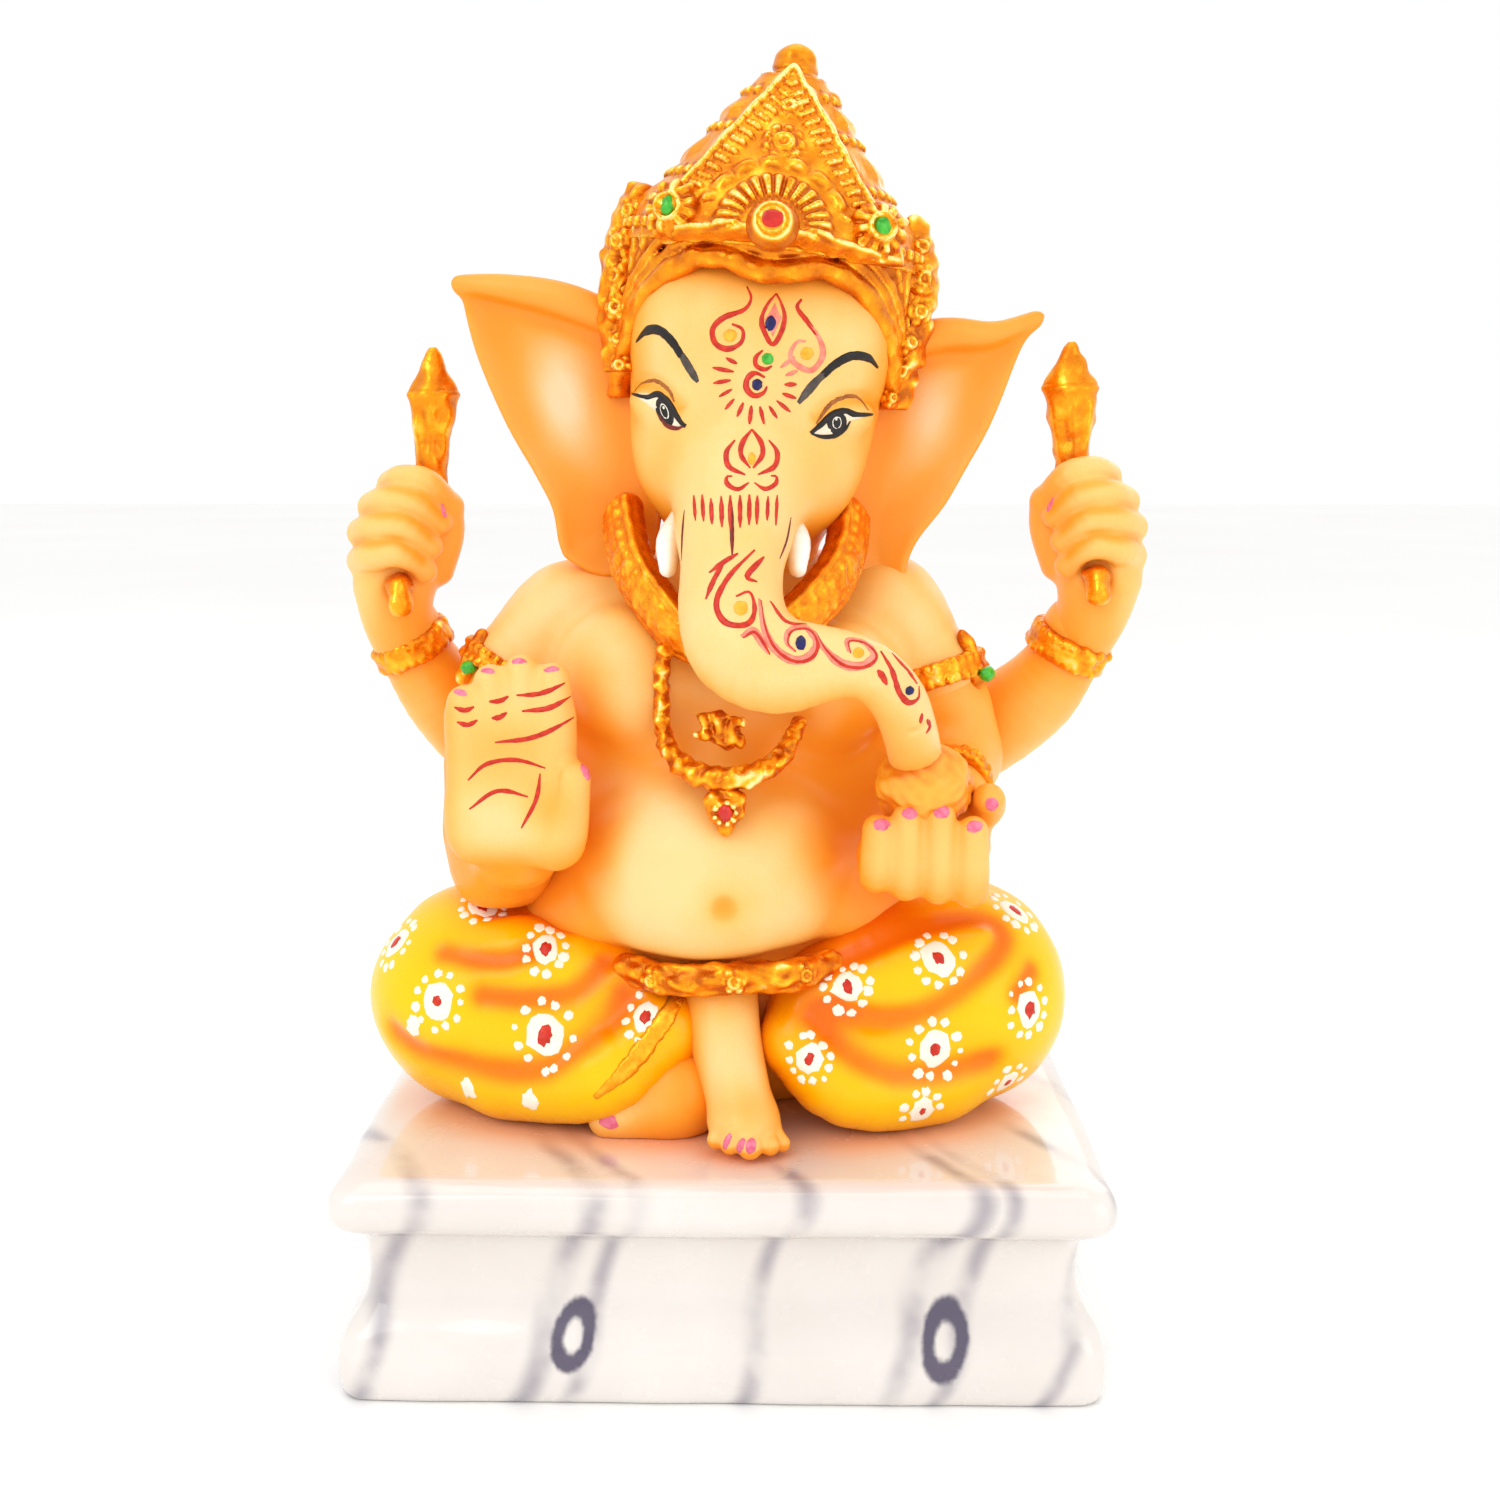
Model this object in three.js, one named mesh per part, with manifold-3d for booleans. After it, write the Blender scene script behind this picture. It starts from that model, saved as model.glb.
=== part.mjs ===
// A seated four-armed Ganesha idol of cast resin on a moulded plinth, as separate named solids.
// Millimetres. +Z is up, the idol faces -Y, and the origin is the centre of the plinth's underside.
// "Right" and "left" in the names are the idol's own right (-X) and left (+X).

import * as THREE from "three";
import { mergeVertices } from "three/addons/utils/BufferGeometryUtils.js";
import Module from "manifold-3d";

const wasm = await Module();
wasm.setup();

// ---------------------------------------------------------------- driving dimensions

const PLINTH = { width: 116, depth: 80, height: 34, corner: 4 };
const SEAT = PLINTH.height + 0.3; // the figure rests this high, a hair above the plinth
const GAP = 0.3; // clearance between touching pieces
const HEAD_AT = [4.5, -3, 147]; // centre of the skull
const HEAD_TILT = THREE.MathUtils.degToRad(7); // the head leans towards +X

// ---------------------------------------------------------------- geometry helpers

const vec = (p) => new THREE.Vector3(...p);

/** The signed volume of a closed indexed geometry. */
function signedVolume(geometry) {
  const place = geometry.attributes.position;
  const index = geometry.index.array;
  const corner = [new THREE.Vector3(), new THREE.Vector3(), new THREE.Vector3()];
  let total = 0;
  for (let i = 0; i < index.length; i += 3) {
    corner.forEach((c, k) => c.fromBufferAttribute(place, index[i + k]));
    total += corner[0].dot(corner[1].clone().cross(corner[2])) / 6;
  }
  return total;
}

/** A three.js geometry as a manifold-3d solid, with its faces pointing out. */
function solid(geometry) {
  const bare = geometry.clone();
  bare.deleteAttribute("normal");
  bare.deleteAttribute("uv");
  const merged = mergeVertices(bare, 1e-4);
  const triVerts = new Uint32Array(merged.index.array);
  if (signedVolume(merged) < 0) {
    for (let i = 0; i < triVerts.length; i += 3) {
      [triVerts[i + 1], triVerts[i + 2]] = [triVerts[i + 2], triVerts[i + 1]];
    }
  }
  const vertProperties = new Float32Array(merged.attributes.position.array);
  return new wasm.Manifold(new wasm.Mesh({ numProp: 3, vertProperties, triVerts }));
}

/** A manifold-3d solid as an indexed BufferGeometry. */
function geometryOf(shape) {
  const mesh = shape.getMesh();
  const place = new THREE.BufferAttribute(new Float32Array(mesh.vertProperties), 3);
  return new THREE.BufferGeometry()
    .setAttribute("position", place)
    .setIndex(new THREE.BufferAttribute(new Uint32Array(mesh.triVerts), 1));
}

const join = (shapes) => shapes.reduce((a, b) => a.add(b));

/** The largest body of a solid, dropping slivers that a cut leaves. */
function largest(shape) {
  return shape.decompose().sort((a, b) => b.volume() - a.volume())[0];
}

/** The solid with every vertex moved out along its normal. */
function grown(shape, distance) {
  const geometry = mergeVertices(geometryOf(shape), 1e-4);
  geometry.computeVertexNormals();
  const place = geometry.attributes.position;
  const normal = geometry.attributes.normal;
  for (let i = 0; i < place.count; i++) {
    place.setXYZ(
      i,
      place.getX(i) + normal.getX(i) * distance,
      place.getY(i) + normal.getY(i) * distance,
      place.getZ(i) + normal.getZ(i) * distance,
    );
  }
  return solid(geometry);
}

/** A closed skin over rings of points, with a fan over each end. */
function loft(rings) {
  const sides = rings[0].length;
  const points = rings.flat();
  const index = [];
  for (let r = 0; r + 1 < rings.length; r++) {
    for (let s = 0; s < sides; s++) {
      const a = r * sides + s;
      const b = r * sides + ((s + 1) % sides);
      index.push(a, b, b + sides, a, b + sides, a + sides);
    }
  }
  const middle = (ring) =>
    ring.reduce((sum, p) => sum.add(p), new THREE.Vector3()).divideScalar(sides);
  const first = points.push(middle(rings[0])) - 1;
  const last = points.push(middle(rings.at(-1))) - 1;
  const lastRing = (rings.length - 1) * sides;
  for (let s = 0; s < sides; s++) {
    const next = (s + 1) % sides;
    index.push(first, next, s);
    index.push(last, lastRing + s, lastRing + next);
  }
  const geometry = new THREE.BufferGeometry().setFromPoints(points).setIndex(index);
  return solid(geometry);
}

/** An ellipsoid, turned by degrees about X, Y and Z. */
function ball(centre, radii, turn = [0, 0, 0], fine = 10) {
  const geometry = new THREE.SphereGeometry(1, fine, Math.round(fine * 0.6));
  geometry.scale(...radii);
  geometry.applyMatrix4(
    new THREE.Matrix4().makeRotationFromEuler(
      new THREE.Euler(...turn.map(THREE.MathUtils.degToRad)),
    ),
  );
  geometry.translate(...centre);
  return solid(geometry);
}

/** A round-ended tube along a smooth curve. Each stop is [x, y, z, radius]; flat squashes it along Y. */
function limb(stops, { sides = 8, perStop = 1, flat = 1, cap = 1 } = {}) {
  const curve = new THREE.CatmullRomCurve3(stops.map((s) => vec(s.slice(0, 3))), false, "centripetal");
  const steps = (stops.length - 1) * perStop;
  const rings = [];
  const ring = (u, radius, shift) => {
    const centre = curve.getPoint(u);
    const along = curve.getTangent(u).normalize();
    const side = Math.abs(along.y) < 0.9 ? vec([0, 1, 0]) : vec([1, 0, 0]);
    const across = side.clone().cross(along).normalize();
    const over = along.clone().cross(across).normalize();
    centre.addScaledVector(along, shift);
    const points = [];
    for (let s = 0; s < sides; s++) {
      const angle = (s / sides) * 2 * Math.PI;
      const p = centre.clone();
      p.addScaledVector(across, radius * Math.cos(angle));
      p.addScaledVector(over, radius * flat * Math.sin(angle));
      points.push(p);
    }
    return points;
  };
  const quarter = (i) => ((i + 0.4) / (cap + 0.4)) * (Math.PI / 2);
  const start = stops[0][3];
  const end = stops.at(-1)[3];
  for (let i = cap - 1; i >= 0; i--) {
    rings.push(ring(0, start * Math.cos(quarter(i)), -start * Math.sin(quarter(i)) * 0.9));
  }
  for (let i = 0; i <= steps; i++) {
    const t = i / perStop;
    const k = Math.min(Math.floor(t), stops.length - 2);
    const radius = THREE.MathUtils.lerp(stops[k][3], stops[k + 1][3], t - k);
    rings.push(ring(i / steps, radius, 0));
  }
  for (let i = 0; i < cap; i++) {
    rings.push(ring(1, end * Math.cos(quarter(i)), end * Math.sin(quarter(i)) * 0.9));
  }
  return loft(rings);
}

/** A ring of round section, its hole facing along a direction. */
function hoop(centre, along, radius, section, stretch = 1) {
  const geometry = new THREE.TorusGeometry(radius, section, 5, 12);
  geometry.scale(stretch, 1, 1.25);
  geometry.applyQuaternion(
    new THREE.Quaternion().setFromUnitVectors(vec([0, 0, 1]), vec(along).normalize()),
  );
  geometry.translate(...centre);
  return solid(geometry);
}

/** A flat plate standing in the XZ plane: an outline of [x, z] points, from y0 to y1. */
function plate(outline, y0, y1) {
  const shape = new THREE.Shape();
  shape.moveTo(...outline[0]);
  shape.splineThru([...outline.slice(1), outline[0]].map((p) => new THREE.Vector2(...p)));
  const geometry = new THREE.ExtrudeGeometry(shape, {
    depth: y1 - y0,
    bevelEnabled: false,
    curveSegments: 2,
  });
  geometry.rotateX(Math.PI / 2);
  geometry.translate(0, y1, 0);
  return solid(geometry);
}

/** The part of a solid above a height. */
function above(shape, height) {
  return shape.trimByPlane([0, 0, 1], height);
}

/** Moves a solid from the head's own frame (origin at the skull's centre) to the idol's. */
function onHead(shape) {
  const turn = new THREE.Matrix4().makeRotationY(HEAD_TILT);
  turn.setPosition(...HEAD_AT);
  const geometry = geometryOf(shape).applyMatrix4(turn);
  return solid(geometry);
}

// ---------------------------------------------------------------- plinth

/** Corner points of a rounded rectangle at one height. */
function roundedRectangle(halfX, halfY, radius, z) {
  const points = [];
  const perCorner = 3;
  for (let corner = 0; corner < 4; corner++) {
    const signX = corner === 0 || corner === 3 ? 1 : -1;
    const signY = corner < 2 ? 1 : -1;
    for (let i = 0; i <= perCorner; i++) {
      const angle = ((corner + i / perCorner) * Math.PI) / 2;
      points.push(
        vec([
          signX * (halfX - radius) + radius * Math.cos(angle),
          signY * (halfY - radius) + radius * Math.sin(angle),
          z,
        ]),
      );
    }
  }
  return points;
}

/** Foot slab, hollow neck and bullnosed top slab, as [inset, height] down one side. */
function plinth() {
  const profile = [
    [2.4, 0],
    [1.2, 0.5],
    [0.9, 1.6],
    [0.9, 8],
    [1.6, 10.2],
    [3.4, 12.4],
    [4.7, 14.6],
    [4.8, 22],
    [4.4, 25.5],
    [2.4, 25.8],
    [0.7, 26.8],
    [0, 28.8],
    [0, 30.6],
    [0.7, 32.5],
    [2, 33.7],
    [3.6, PLINTH.height],
  ];
  return loft(
    profile.map(([inset, z]) =>
      roundedRectangle(
        PLINTH.width / 2 - inset,
        PLINTH.depth / 2 - inset,
        PLINTH.corner,
        z,
      ),
    ),
  );
}

// ---------------------------------------------------------------- body

function torso() {
  return above(
    join([
      ball([-2, -4, 75], [23.5, 22, 20], [0, 0, 0], 16),
      ball([-1, 1, 98], [27, 17, 21], [0, 0, 0], 12),
      limb([[-25, 4, 110, 10], [0, 5, 114, 11], [24, 4, 112, 10]]),
      limb([[-25, 4, 111, 10], [-32.8, 2.2, 105.2, 8.3]]),
      limb([[25, 4, 112, 9.5], [33, 0.6, 104, 7.2]]),
      ball([0, 8, 50], [34, 20, 20], [0, 0, 0], 16),
    ]),
    SEAT,
  );
}

function dhotiRightLeg() {
  return above(
    join([
      ball([-37, 0, 51], [21.5, 20, 18.5], [0, 0, 0], 12),
      ball([-24, -5, 49], [20, 14, 16], [0, -8, 10], 16),
      limb([[-34, -12, 42, 8], [-20, -17, 44, 9], [-9, -16, 51, 6]]),
    ]),
    SEAT,
  );
}

function dhotiLeftLeg() {
  return above(
    join([
      ball([34.5, 0, 52], [20.5, 20, 19.5], [0, 0, 0], 12),
      ball([22, -5, 49], [18, 14, 15], [0, 8, -10], 16),
      limb([[33, -12, 42, 8], [20, -17, 43, 8.5], [11, -17, 49, 6]]),
    ]),
    SEAT,
  );
}

function waistband() {
  return limb(
    [[-17, -13, 60, 3], [-8, -20, 59, 3.2], [1, -22, 58.5, 3.2], [10, -20, 59.5, 3.4], [17, -14, 61, 3]],
  );
}

function leftFoot() {
  return above(
    join([
      limb([[1.5, -15, 56, 5.5], [2, -18.5, 47, 6], [3.6, -21.5, 40, 6.6], [4, -24, 37, 5]]),
      ball([4.5, -25, 36.5], [5.8, 4.5, 3.6]),
    ]),
    SEAT,
  );
}

function rightFoot() {
  return above(
    join([ball([-8.5, -12, 41], [8.5, 9, 8.4]), limb([[-9, -13.5, 39, 6.5], [-18.5, -15, 36.8, 4]])]),
    SEAT,
  );
}

// ---------------------------------------------------------------- head

function head() {
  return join([
    onHead(ball([0, 0, 3], [19.5, 19, 21], [0, 0, 0], 16)),
    onHead(ball([0, -5, -8], [16.5, 14, 13], [0, 0, 0], 16)),
    limb(
      [
        [4.2, -12, 142, 12],
        [2.8, -19.6, 132.6, 9],
        [1.6, -26, 123, 7.8],
        [1.6, -31, 115.4, 7.9],
        [4.4, -34, 111, 7.6],
        [11, -36, 110, 6.2],
        [18.4, -36.4, 110, 4.7],
        [23.6, -34.4, 107, 4.1],
        [26.8, -30.2, 101.6, 3.9],
        [28.4, -26.6, 97.2, 3.6],
      ],
      { sides: 9 },
    ),
  ]);
}

function tusk(side) {
  const x = side < 0 ? -7.4 : 10.8;
  return limb([[x - side * 1.6, -18, 128.5, 2], [x, -20.5, 125, 2.1], [x + side * 0.2, -23, 121.5, 1.4]]);
}

function rightEar() {
  return plate(
    [
      [-11, 158],
      [-22, 163],
      [-33, 165.2],
      [-41.2, 164.6],
      [-38.6, 153],
      [-34, 142],
      [-28.6, 132.5],
      [-25.6, 123.5],
      [-19, 120.5],
      [-12, 126],
    ],
    -4,
    2.5,
  );
}

function leftEar() {
  return plate(
    [
      [19, 153],
      [27.5, 157.6],
      [38, 158.2],
      [48, 159.4],
      [43.6, 148.5],
      [39.4, 138.5],
      [33.6, 129.6],
      [29, 123],
      [24, 119],
      [18, 127],
    ],
    -4,
    2.5,
  );
}

// ---------------------------------------------------------------- crown, in the head's own frame

/** A crown body over rings of [height, half width, half depth, how much higher its front is]. */
function crownBody(levels) {
  const sides = 18;
  return loft(
    levels.map(([height, halfX, halfY, frontLift = 0]) => {
      const ring = [];
      for (let s = 0; s < sides; s++) {
        const angle = (s / sides) * 2 * Math.PI;
        const front = Math.max(0, -Math.sin(angle));
        const z = height + frontLift * Math.sqrt(front);
        ring.push(vec([halfX * Math.cos(angle), 1 + halfY * Math.sin(angle), z]));
      }
      return ring;
    }),
  );
}

function crownDome() {
  return onHead(
    crownBody([
      [21, 23.4, 21.6],
      [26, 22.2, 20],
      [31, 17.6, 16.4],
      [36.5, 12.8, 12.2],
      [42, 8.6, 8.4],
      [46, 5.6, 5.6],
    ]),
  );
}

function crownBand() {
  return onHead(crownBody([[7, 21.2, 20.4, 10], [12, 22.6, 21.6, 7], [21, 23.8, 22.6]]));
}

function crownFinial() {
  return onHead(limb([[0, 1, 46.3, 4.4], [0, 1, 49.2, 3.2]], { sides: 10 }));
}

function crownCrest() {
  const outline = [
    [0, 46],
    [-4.6, 40],
    [-9.6, 32.5],
    [-11.5, 25.5],
    [0, 21.6],
    [11.5, 25.5],
    [9.6, 32.5],
    [4.6, 40],
  ];
  const standing = plate(outline, -1.4, 1.4);
  const lean = new THREE.Matrix4().makeRotationX(THREE.MathUtils.degToRad(-31));
  lean.setPosition(0, -33.4, 5.6);
  return onHead(solid(geometryOf(standing).applyMatrix4(lean)));
}

function crownRosette(side) {
  return onHead(ball([side * 15.2, -17.2, 24.6], [4.6, 3.6, 4.8], [0, 0, side * 40], 12));
}

function crownSideBoss(side) {
  return onHead(
    limb([[side * 21.8, -1, 26, 2.4], [side * 22.6, -1, 18, 2.8], [side * 21.4, -1, 9, 2.2]], { sides: 6 }),
  );
}

function crownGem(side) {
  const centre = side === 0 ? [0, -23.6, 24] : [side * 15.4, -21.4, 24.8];
  const size = side === 0 ? [2, 1.4, 2] : [1.6, 1.2, 1.9];
  return onHead(ball(centre, size, [0, 0, side * 40], 10));
}

function crownGemSetting() {
  return onHead(ball([0, -21.8, 24], [4.2, 2.6, 4.4], [0, 0, 0], 12));
}

// ---------------------------------------------------------------- jewellery

function collarNecklace() {
  return limb(
    [
      [-15.2, -5.4, 127.4, 4],
      [-13.2, -12.6, 120.6, 4.2],
      [-7.2, -18.4, 113.6, 4.2],
      [1.5, -20.4, 110.6, 4],
      [9.8, -18.4, 114, 4.2],
      [16.2, -12.4, 120.6, 4.2],
      [18.6, -5, 127, 4],
    ],
    { flat: 0.7 },
  );
}

function longNecklace() {
  return limb(
    [
      [-8.6, -17, 109.5, 1.6],
      [-9.4, -18, 101.5, 1.6],
      [-6.2, -21, 93.6, 1.8],
      [0.6, -23, 91.6, 2],
      [7.4, -21.4, 93.6, 1.8],
      [11, -18.8, 99, 1.6],
    ],
    { sides: 7 },
  );
}

function brooch() {
  return ball([-0.2, -20.4, 98.6], [3.9, 2.8, 3], [0, 24, 0], 10);
}

function pendant() {
  return ball([0.5, -24.6, 86.6], [3.2, 1.8, 3.7], [8, 0, 0], 12);
}

function pendantGem() {
  return ball([0.5, -26.3, 86.8], [1.4, 0.9, 1.5], [0, 0, 0], 10);
}

const ARMLETS = {
  right: { at: [-33, 2, 105], along: [-0.42, -0.1, -0.9], radius: 8.8 },
  left: { at: [33, 0.6, 104], along: [0.3, -0.1, -0.95], radius: 7.6 },
};

const armlet = ({ at, along, radius }) => hoop(at, along, radius, 1.5);

function armletGem(side) {
  const at = side < 0 ? [-41.4, -3.6, 107] : [40.8, -4.4, 104.6];
  return ball(at, [1.2, 1.8, 2], [0, 0, 0], 8);
}

function backBracelet(side) {
  const x = side < 0 ? -51 : 54.8;
  return hoop([x, 6, 107.8], [side * 0.42, -0.2, 0.88], 6, 1.6, 1.08);
}

const frontBracelet = () => hoop([35.3, -9.6, 88.4], [-0.12, -0.96, -0.25], 5.9, 1.3);

// ---------------------------------------------------------------- arms and hands

function rightFrontArm() {
  return join([
    limb([[-34, 2, 103, 8.3], [-37.4, 1, 91, 8], [-38, -1, 80, 7.8]], { sides: 9 }),
    limb([[-38, -1, 79.5, 7.8], [-35.6, -10, 78, 7], [-32.4, -17.6, 80.6, 5.6]], { sides: 9 }),
  ]);
}

function leftFrontArm() {
  return join([
    limb([[33, 0.6, 103, 7.2], [35.4, 1.6, 97, 7], [36.4, 1, 91, 6.8]], { sides: 9 }),
    limb([[36.4, 1, 91, 6.6], [36, -6, 89.6, 6], [34.6, -13, 86.6, 5.4]], { sides: 9 }),
  ]);
}

/** Raised palm facing forward: four joined fingers, thumb towards the chest. */
function rightFrontHand() {
  const fingers = [
    [-38, 104.2, 2.7],
    [-33.6, 107.2, 2.9],
    [-28.8, 108.6, 3],
    [-24, 107.4, 2.9],
  ].map(([x, top, radius]) =>
    limb([[x * 0.9 - 3, -22.6, 92, radius + 0.3], [x, -24.4, top - radius, radius]], { sides: 6, flat: 1.1 }),
  );
  return join([
    ball([-31, -22.4, 90.4], [9.9, 4.6, 11.6], [0, 0, 0], 12),
    ...fingers,
    limb([[-25.6, -22, 82, 4], [-21.8, -24.6, 89, 3], [-21.2, -25.6, 93.2, 2.6]], { sides: 6 }),
  ]);
}

/** Open palm under the sweet, its fingers curled up in front of it. */
function leftFrontHand() {
  const fingers = [24.4, 28.8, 33.2, 37.4].map((x, i) =>
    limb(
      [
        [x, -18, 77.6, 2.8],
        [x, -25.4, 76.4 - i * 0.6, 2.7],
        [x, -27.4, 81.4, 2.6],
        [x, -26.4, 85.4, 2.3],
      ],
      { sides: 6 },
    ),
  );
  return join([
    ball([31, -18.6, 81], [9.4, 7.4, 5.4], [0, 0, 0], 12),
    ...fingers,
    limb([[36.6, -17, 83, 3.2], [40, -21.6, 86, 2.4]], { sides: 6 }),
  ]);
}

const laddu = () => ball([31, -19.6, 89.6], [7.6, 6.6, 6.6], [0, 0, 0], 12);

function backArm(side) {
  const x = side < 0 ? -51 : 54.8;
  return limb(
    [
      [side * 27.4, 12.6, 98.6, 8.3],
      [side * 37, 13, 90.6, 7.8],
      [side * (side < 0 ? 45.6 : 48.6), 10, 98, 6.8],
      [x, 6.4, 106.6, 5.4],
    ],
    { sides: 9 },
  );
}

/** A fist round a staff, four finger backs facing forward. */
function backHand(side) {
  const x = side < 0 ? -51.4 : 57.2;
  const z = side < 0 ? 122 : 123.6;
  const fingers = [0, 1, 2, 3].map((i) =>
    limb(
      [
        [x + side * (5.2 - i * 0.9), 2, z - 3.6 + i * 4.4, 2.9],
        [x - side * 2, -2.6, z - 3 + i * 4.4, 2.7],
        [x - side * 6.2, 2.4, z - 2.6 + i * 4.4, 2.4],
      ],
      { sides: 5 },
    ),
  );
  return join([
    ball([x - side * 0.4, 4.4, z + 1.4], [7.4, 6.4, 11], [0, side * 8, 0], 14),
    limb([[x + side * 1.4, 5.4, z - 7, 6.2], [x + side * -1.2, 6, z - 12.4, 5.2]], { sides: 6 }),
    ...fingers,
  ]);
}

/** The staff held in a fist: a leaf-shaped head above, a stub below. */
function emblem(side) {
  const top = side < 0 ? -46.2 : 54;
  const stub = side < 0 ? -52 : 58.2;
  const z = side < 0 ? 0 : 1.2;
  return join([
    limb([[stub, -3.8, 113.2 + z, 2.2], [top + side * 0.4, 5, 138 + z, 2.2]], { sides: 6 }),
    limb(
      [
        [top + side * 0.4, 5, 136 + z, 2.8],
        [top + side * 0.6, 5, 142 + z, 3.7],
        [top + side * 0.4, 5, 147.6 + z, 3.8],
        [top, 5, 151 + z, 2],
        [top - side * 0.2, 5, 153.6 + z, 1],
      ],
      { sides: 10, flat: 0.62 },
    ),
  ]);
}

// ---------------------------------------------------------------- assembly

const finish = (color, roughness, metalness = 0) =>
  new THREE.MeshStandardMaterial({ color, roughness, metalness });

const MATERIALS = {
  marble: finish(0xf6efe6, 0.3),
  skin: finish(0xf8cf8c, 0.45),
  gold: finish(0xe9a21c, 0.35, 0.7),
  cloth: finish(0xf4b90e, 0.25),
  ivory: finish(0xfaf6ea, 0.3),
  sweet: finish(0xe98f14, 0.5),
  red_gem: finish(0xc4160e, 0.2),
  green_gem: finish(0x2fb01c, 0.2),
};

// In order of rank: a piece is cut back, with clearance, by every piece above it in this list.
const PIECES = [
  ["plinth", plinth(), "marble"],
  ["torso", torso(), "skin"],
  ["head", head(), "skin"],
  ["emblem_right", emblem(-1), "gold"],
  ["emblem_left", emblem(1), "gold"],
  ["front_hand_right", rightFrontHand(), "skin"],
  ["front_hand_left", leftFrontHand(), "skin"],
  ["back_hand_right", backHand(-1), "skin"],
  ["back_hand_left", backHand(1), "skin"],
  ["front_arm_right", rightFrontArm(), "skin"],
  ["front_arm_left", leftFrontArm(), "skin"],
  ["back_arm_right", backArm(-1), "skin"],
  ["back_arm_left", backArm(1), "skin"],
  ["foot_left", leftFoot(), "skin"],
  ["foot_right", rightFoot(), "skin"],
  ["dhoti_leg_right", dhotiRightLeg(), "cloth"],
  ["dhoti_leg_left", dhotiLeftLeg(), "cloth"],
  ["waistband", waistband(), "gold"],
  ["crown_band", crownBand(), "gold"],
  ["crown_dome", crownDome(), "gold"],
  ["crown_finial", crownFinial(), "gold"],
  ["crown_crest", crownCrest(), "gold"],
  ["crown_rosette_right", crownRosette(-1), "gold"],
  ["crown_rosette_left", crownRosette(1), "gold"],
  ["crown_side_boss_right", crownSideBoss(-1), "gold"],
  ["crown_side_boss_left", crownSideBoss(1), "gold"],
  ["crown_gem_setting", crownGemSetting(), "gold"],
  ["crown_gem_front", crownGem(0), "red_gem"],
  ["crown_gem_right", crownGem(-1), "green_gem"],
  ["crown_gem_left", crownGem(1), "green_gem"],
  ["ear_right", rightEar(), "skin"],
  ["ear_left", leftEar(), "skin"],
  ["tusk_right", tusk(-1), "ivory"],
  ["tusk_left", tusk(1), "ivory"],
  ["collar_necklace", collarNecklace(), "gold"],
  ["long_necklace", longNecklace(), "gold"],
  ["brooch", brooch(), "gold"],
  ["pendant", pendant(), "gold"],
  ["pendant_gem", pendantGem(), "red_gem"],
  ["armlet_right", armlet(ARMLETS.right), "gold"],
  ["armlet_left", armlet(ARMLETS.left), "gold"],
  ["armlet_gem_right", armletGem(-1), "green_gem"],
  ["armlet_gem_left", armletGem(1), "green_gem"],
  ["bracelet_back_right", backBracelet(-1), "gold"],
  ["bracelet_back_left", backBracelet(1), "gold"],
  ["bracelet_front_left", frontBracelet(), "gold"],
  ["laddu", laddu(), "sweet"],
];

const overlaps = (a, b) =>
  [0, 1, 2].every((k) => a.min[k] < b.max[k] + GAP && b.min[k] < a.max[k] + GAP);

const idol = new THREE.Group();
const placed = [];
for (const [name, shape, material] of PIECES) {
  const cutters = placed
    .filter((other) => overlaps(other.boundingBox(), shape.boundingBox()))
    .map((other) => grown(other, GAP).add(other));
  const left = cutters.length ? largest(shape.subtract(join(cutters))) : shape;
  placed.push(left);
  const mesh = new THREE.Mesh(geometryOf(left), MATERIALS[material]);
  mesh.name = name;
  idol.add(mesh);
}

export default idol;
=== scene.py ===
"""A hand-painted resin Ganesha idol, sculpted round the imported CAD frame.

Every visible form is a field: a function from points to their distance from a surface, negative
inside, in millimetres in the idol's own frame (+Z up, facing -Y, origin under the plinth).
sculpt() turns a field into a smooth mesh inside its CAD node's box. The painted strokes and dots
are thin raised meshes laid on those surfaces. "Right" and "left" are the idol's own.
"""

import math

import bpy
import numpy as np
from mathutils import Euler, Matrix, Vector
from mathutils.bvhtree import BVHTree


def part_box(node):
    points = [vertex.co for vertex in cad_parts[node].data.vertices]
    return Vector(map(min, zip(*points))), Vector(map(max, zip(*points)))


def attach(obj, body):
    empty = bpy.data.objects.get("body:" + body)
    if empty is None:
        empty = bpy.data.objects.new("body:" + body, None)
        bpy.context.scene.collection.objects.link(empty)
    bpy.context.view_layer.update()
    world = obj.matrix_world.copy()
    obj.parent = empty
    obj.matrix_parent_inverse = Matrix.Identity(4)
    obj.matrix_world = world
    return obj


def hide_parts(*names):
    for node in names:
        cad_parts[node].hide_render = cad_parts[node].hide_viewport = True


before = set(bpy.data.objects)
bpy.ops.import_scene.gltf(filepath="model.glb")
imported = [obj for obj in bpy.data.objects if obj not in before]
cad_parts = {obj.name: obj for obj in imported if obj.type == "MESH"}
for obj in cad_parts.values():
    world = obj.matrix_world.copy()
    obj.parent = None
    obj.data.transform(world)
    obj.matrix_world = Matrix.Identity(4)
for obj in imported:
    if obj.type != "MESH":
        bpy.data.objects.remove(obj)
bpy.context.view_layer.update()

MM = 0.001
BODY = "root"


def side_name(side):
    """Which side of the idol: -1 is its right, 1 its left."""
    return "right" if side < 0 else "left"


def node_box(*nodes):
    """Lowest and highest corner of one or more CAD nodes, in millimetres."""
    corners = [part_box(node) for node in nodes]
    low = np.min([list(c[0]) for c in corners], axis=0) / MM
    high = np.max([list(c[1]) for c in corners], axis=0) / MM
    return low, high


def node_centre(node):
    low, high = node_box(node)
    return (low + high) / 2


SEAT = node_box("plinth")[1][2]  # the figure sits at this height
SKULL = np.array((4.5, -3.0, 147.0))  # centre of the skull
HEAD_TILT = 7.0  # degrees that the head leans towards +X

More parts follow.
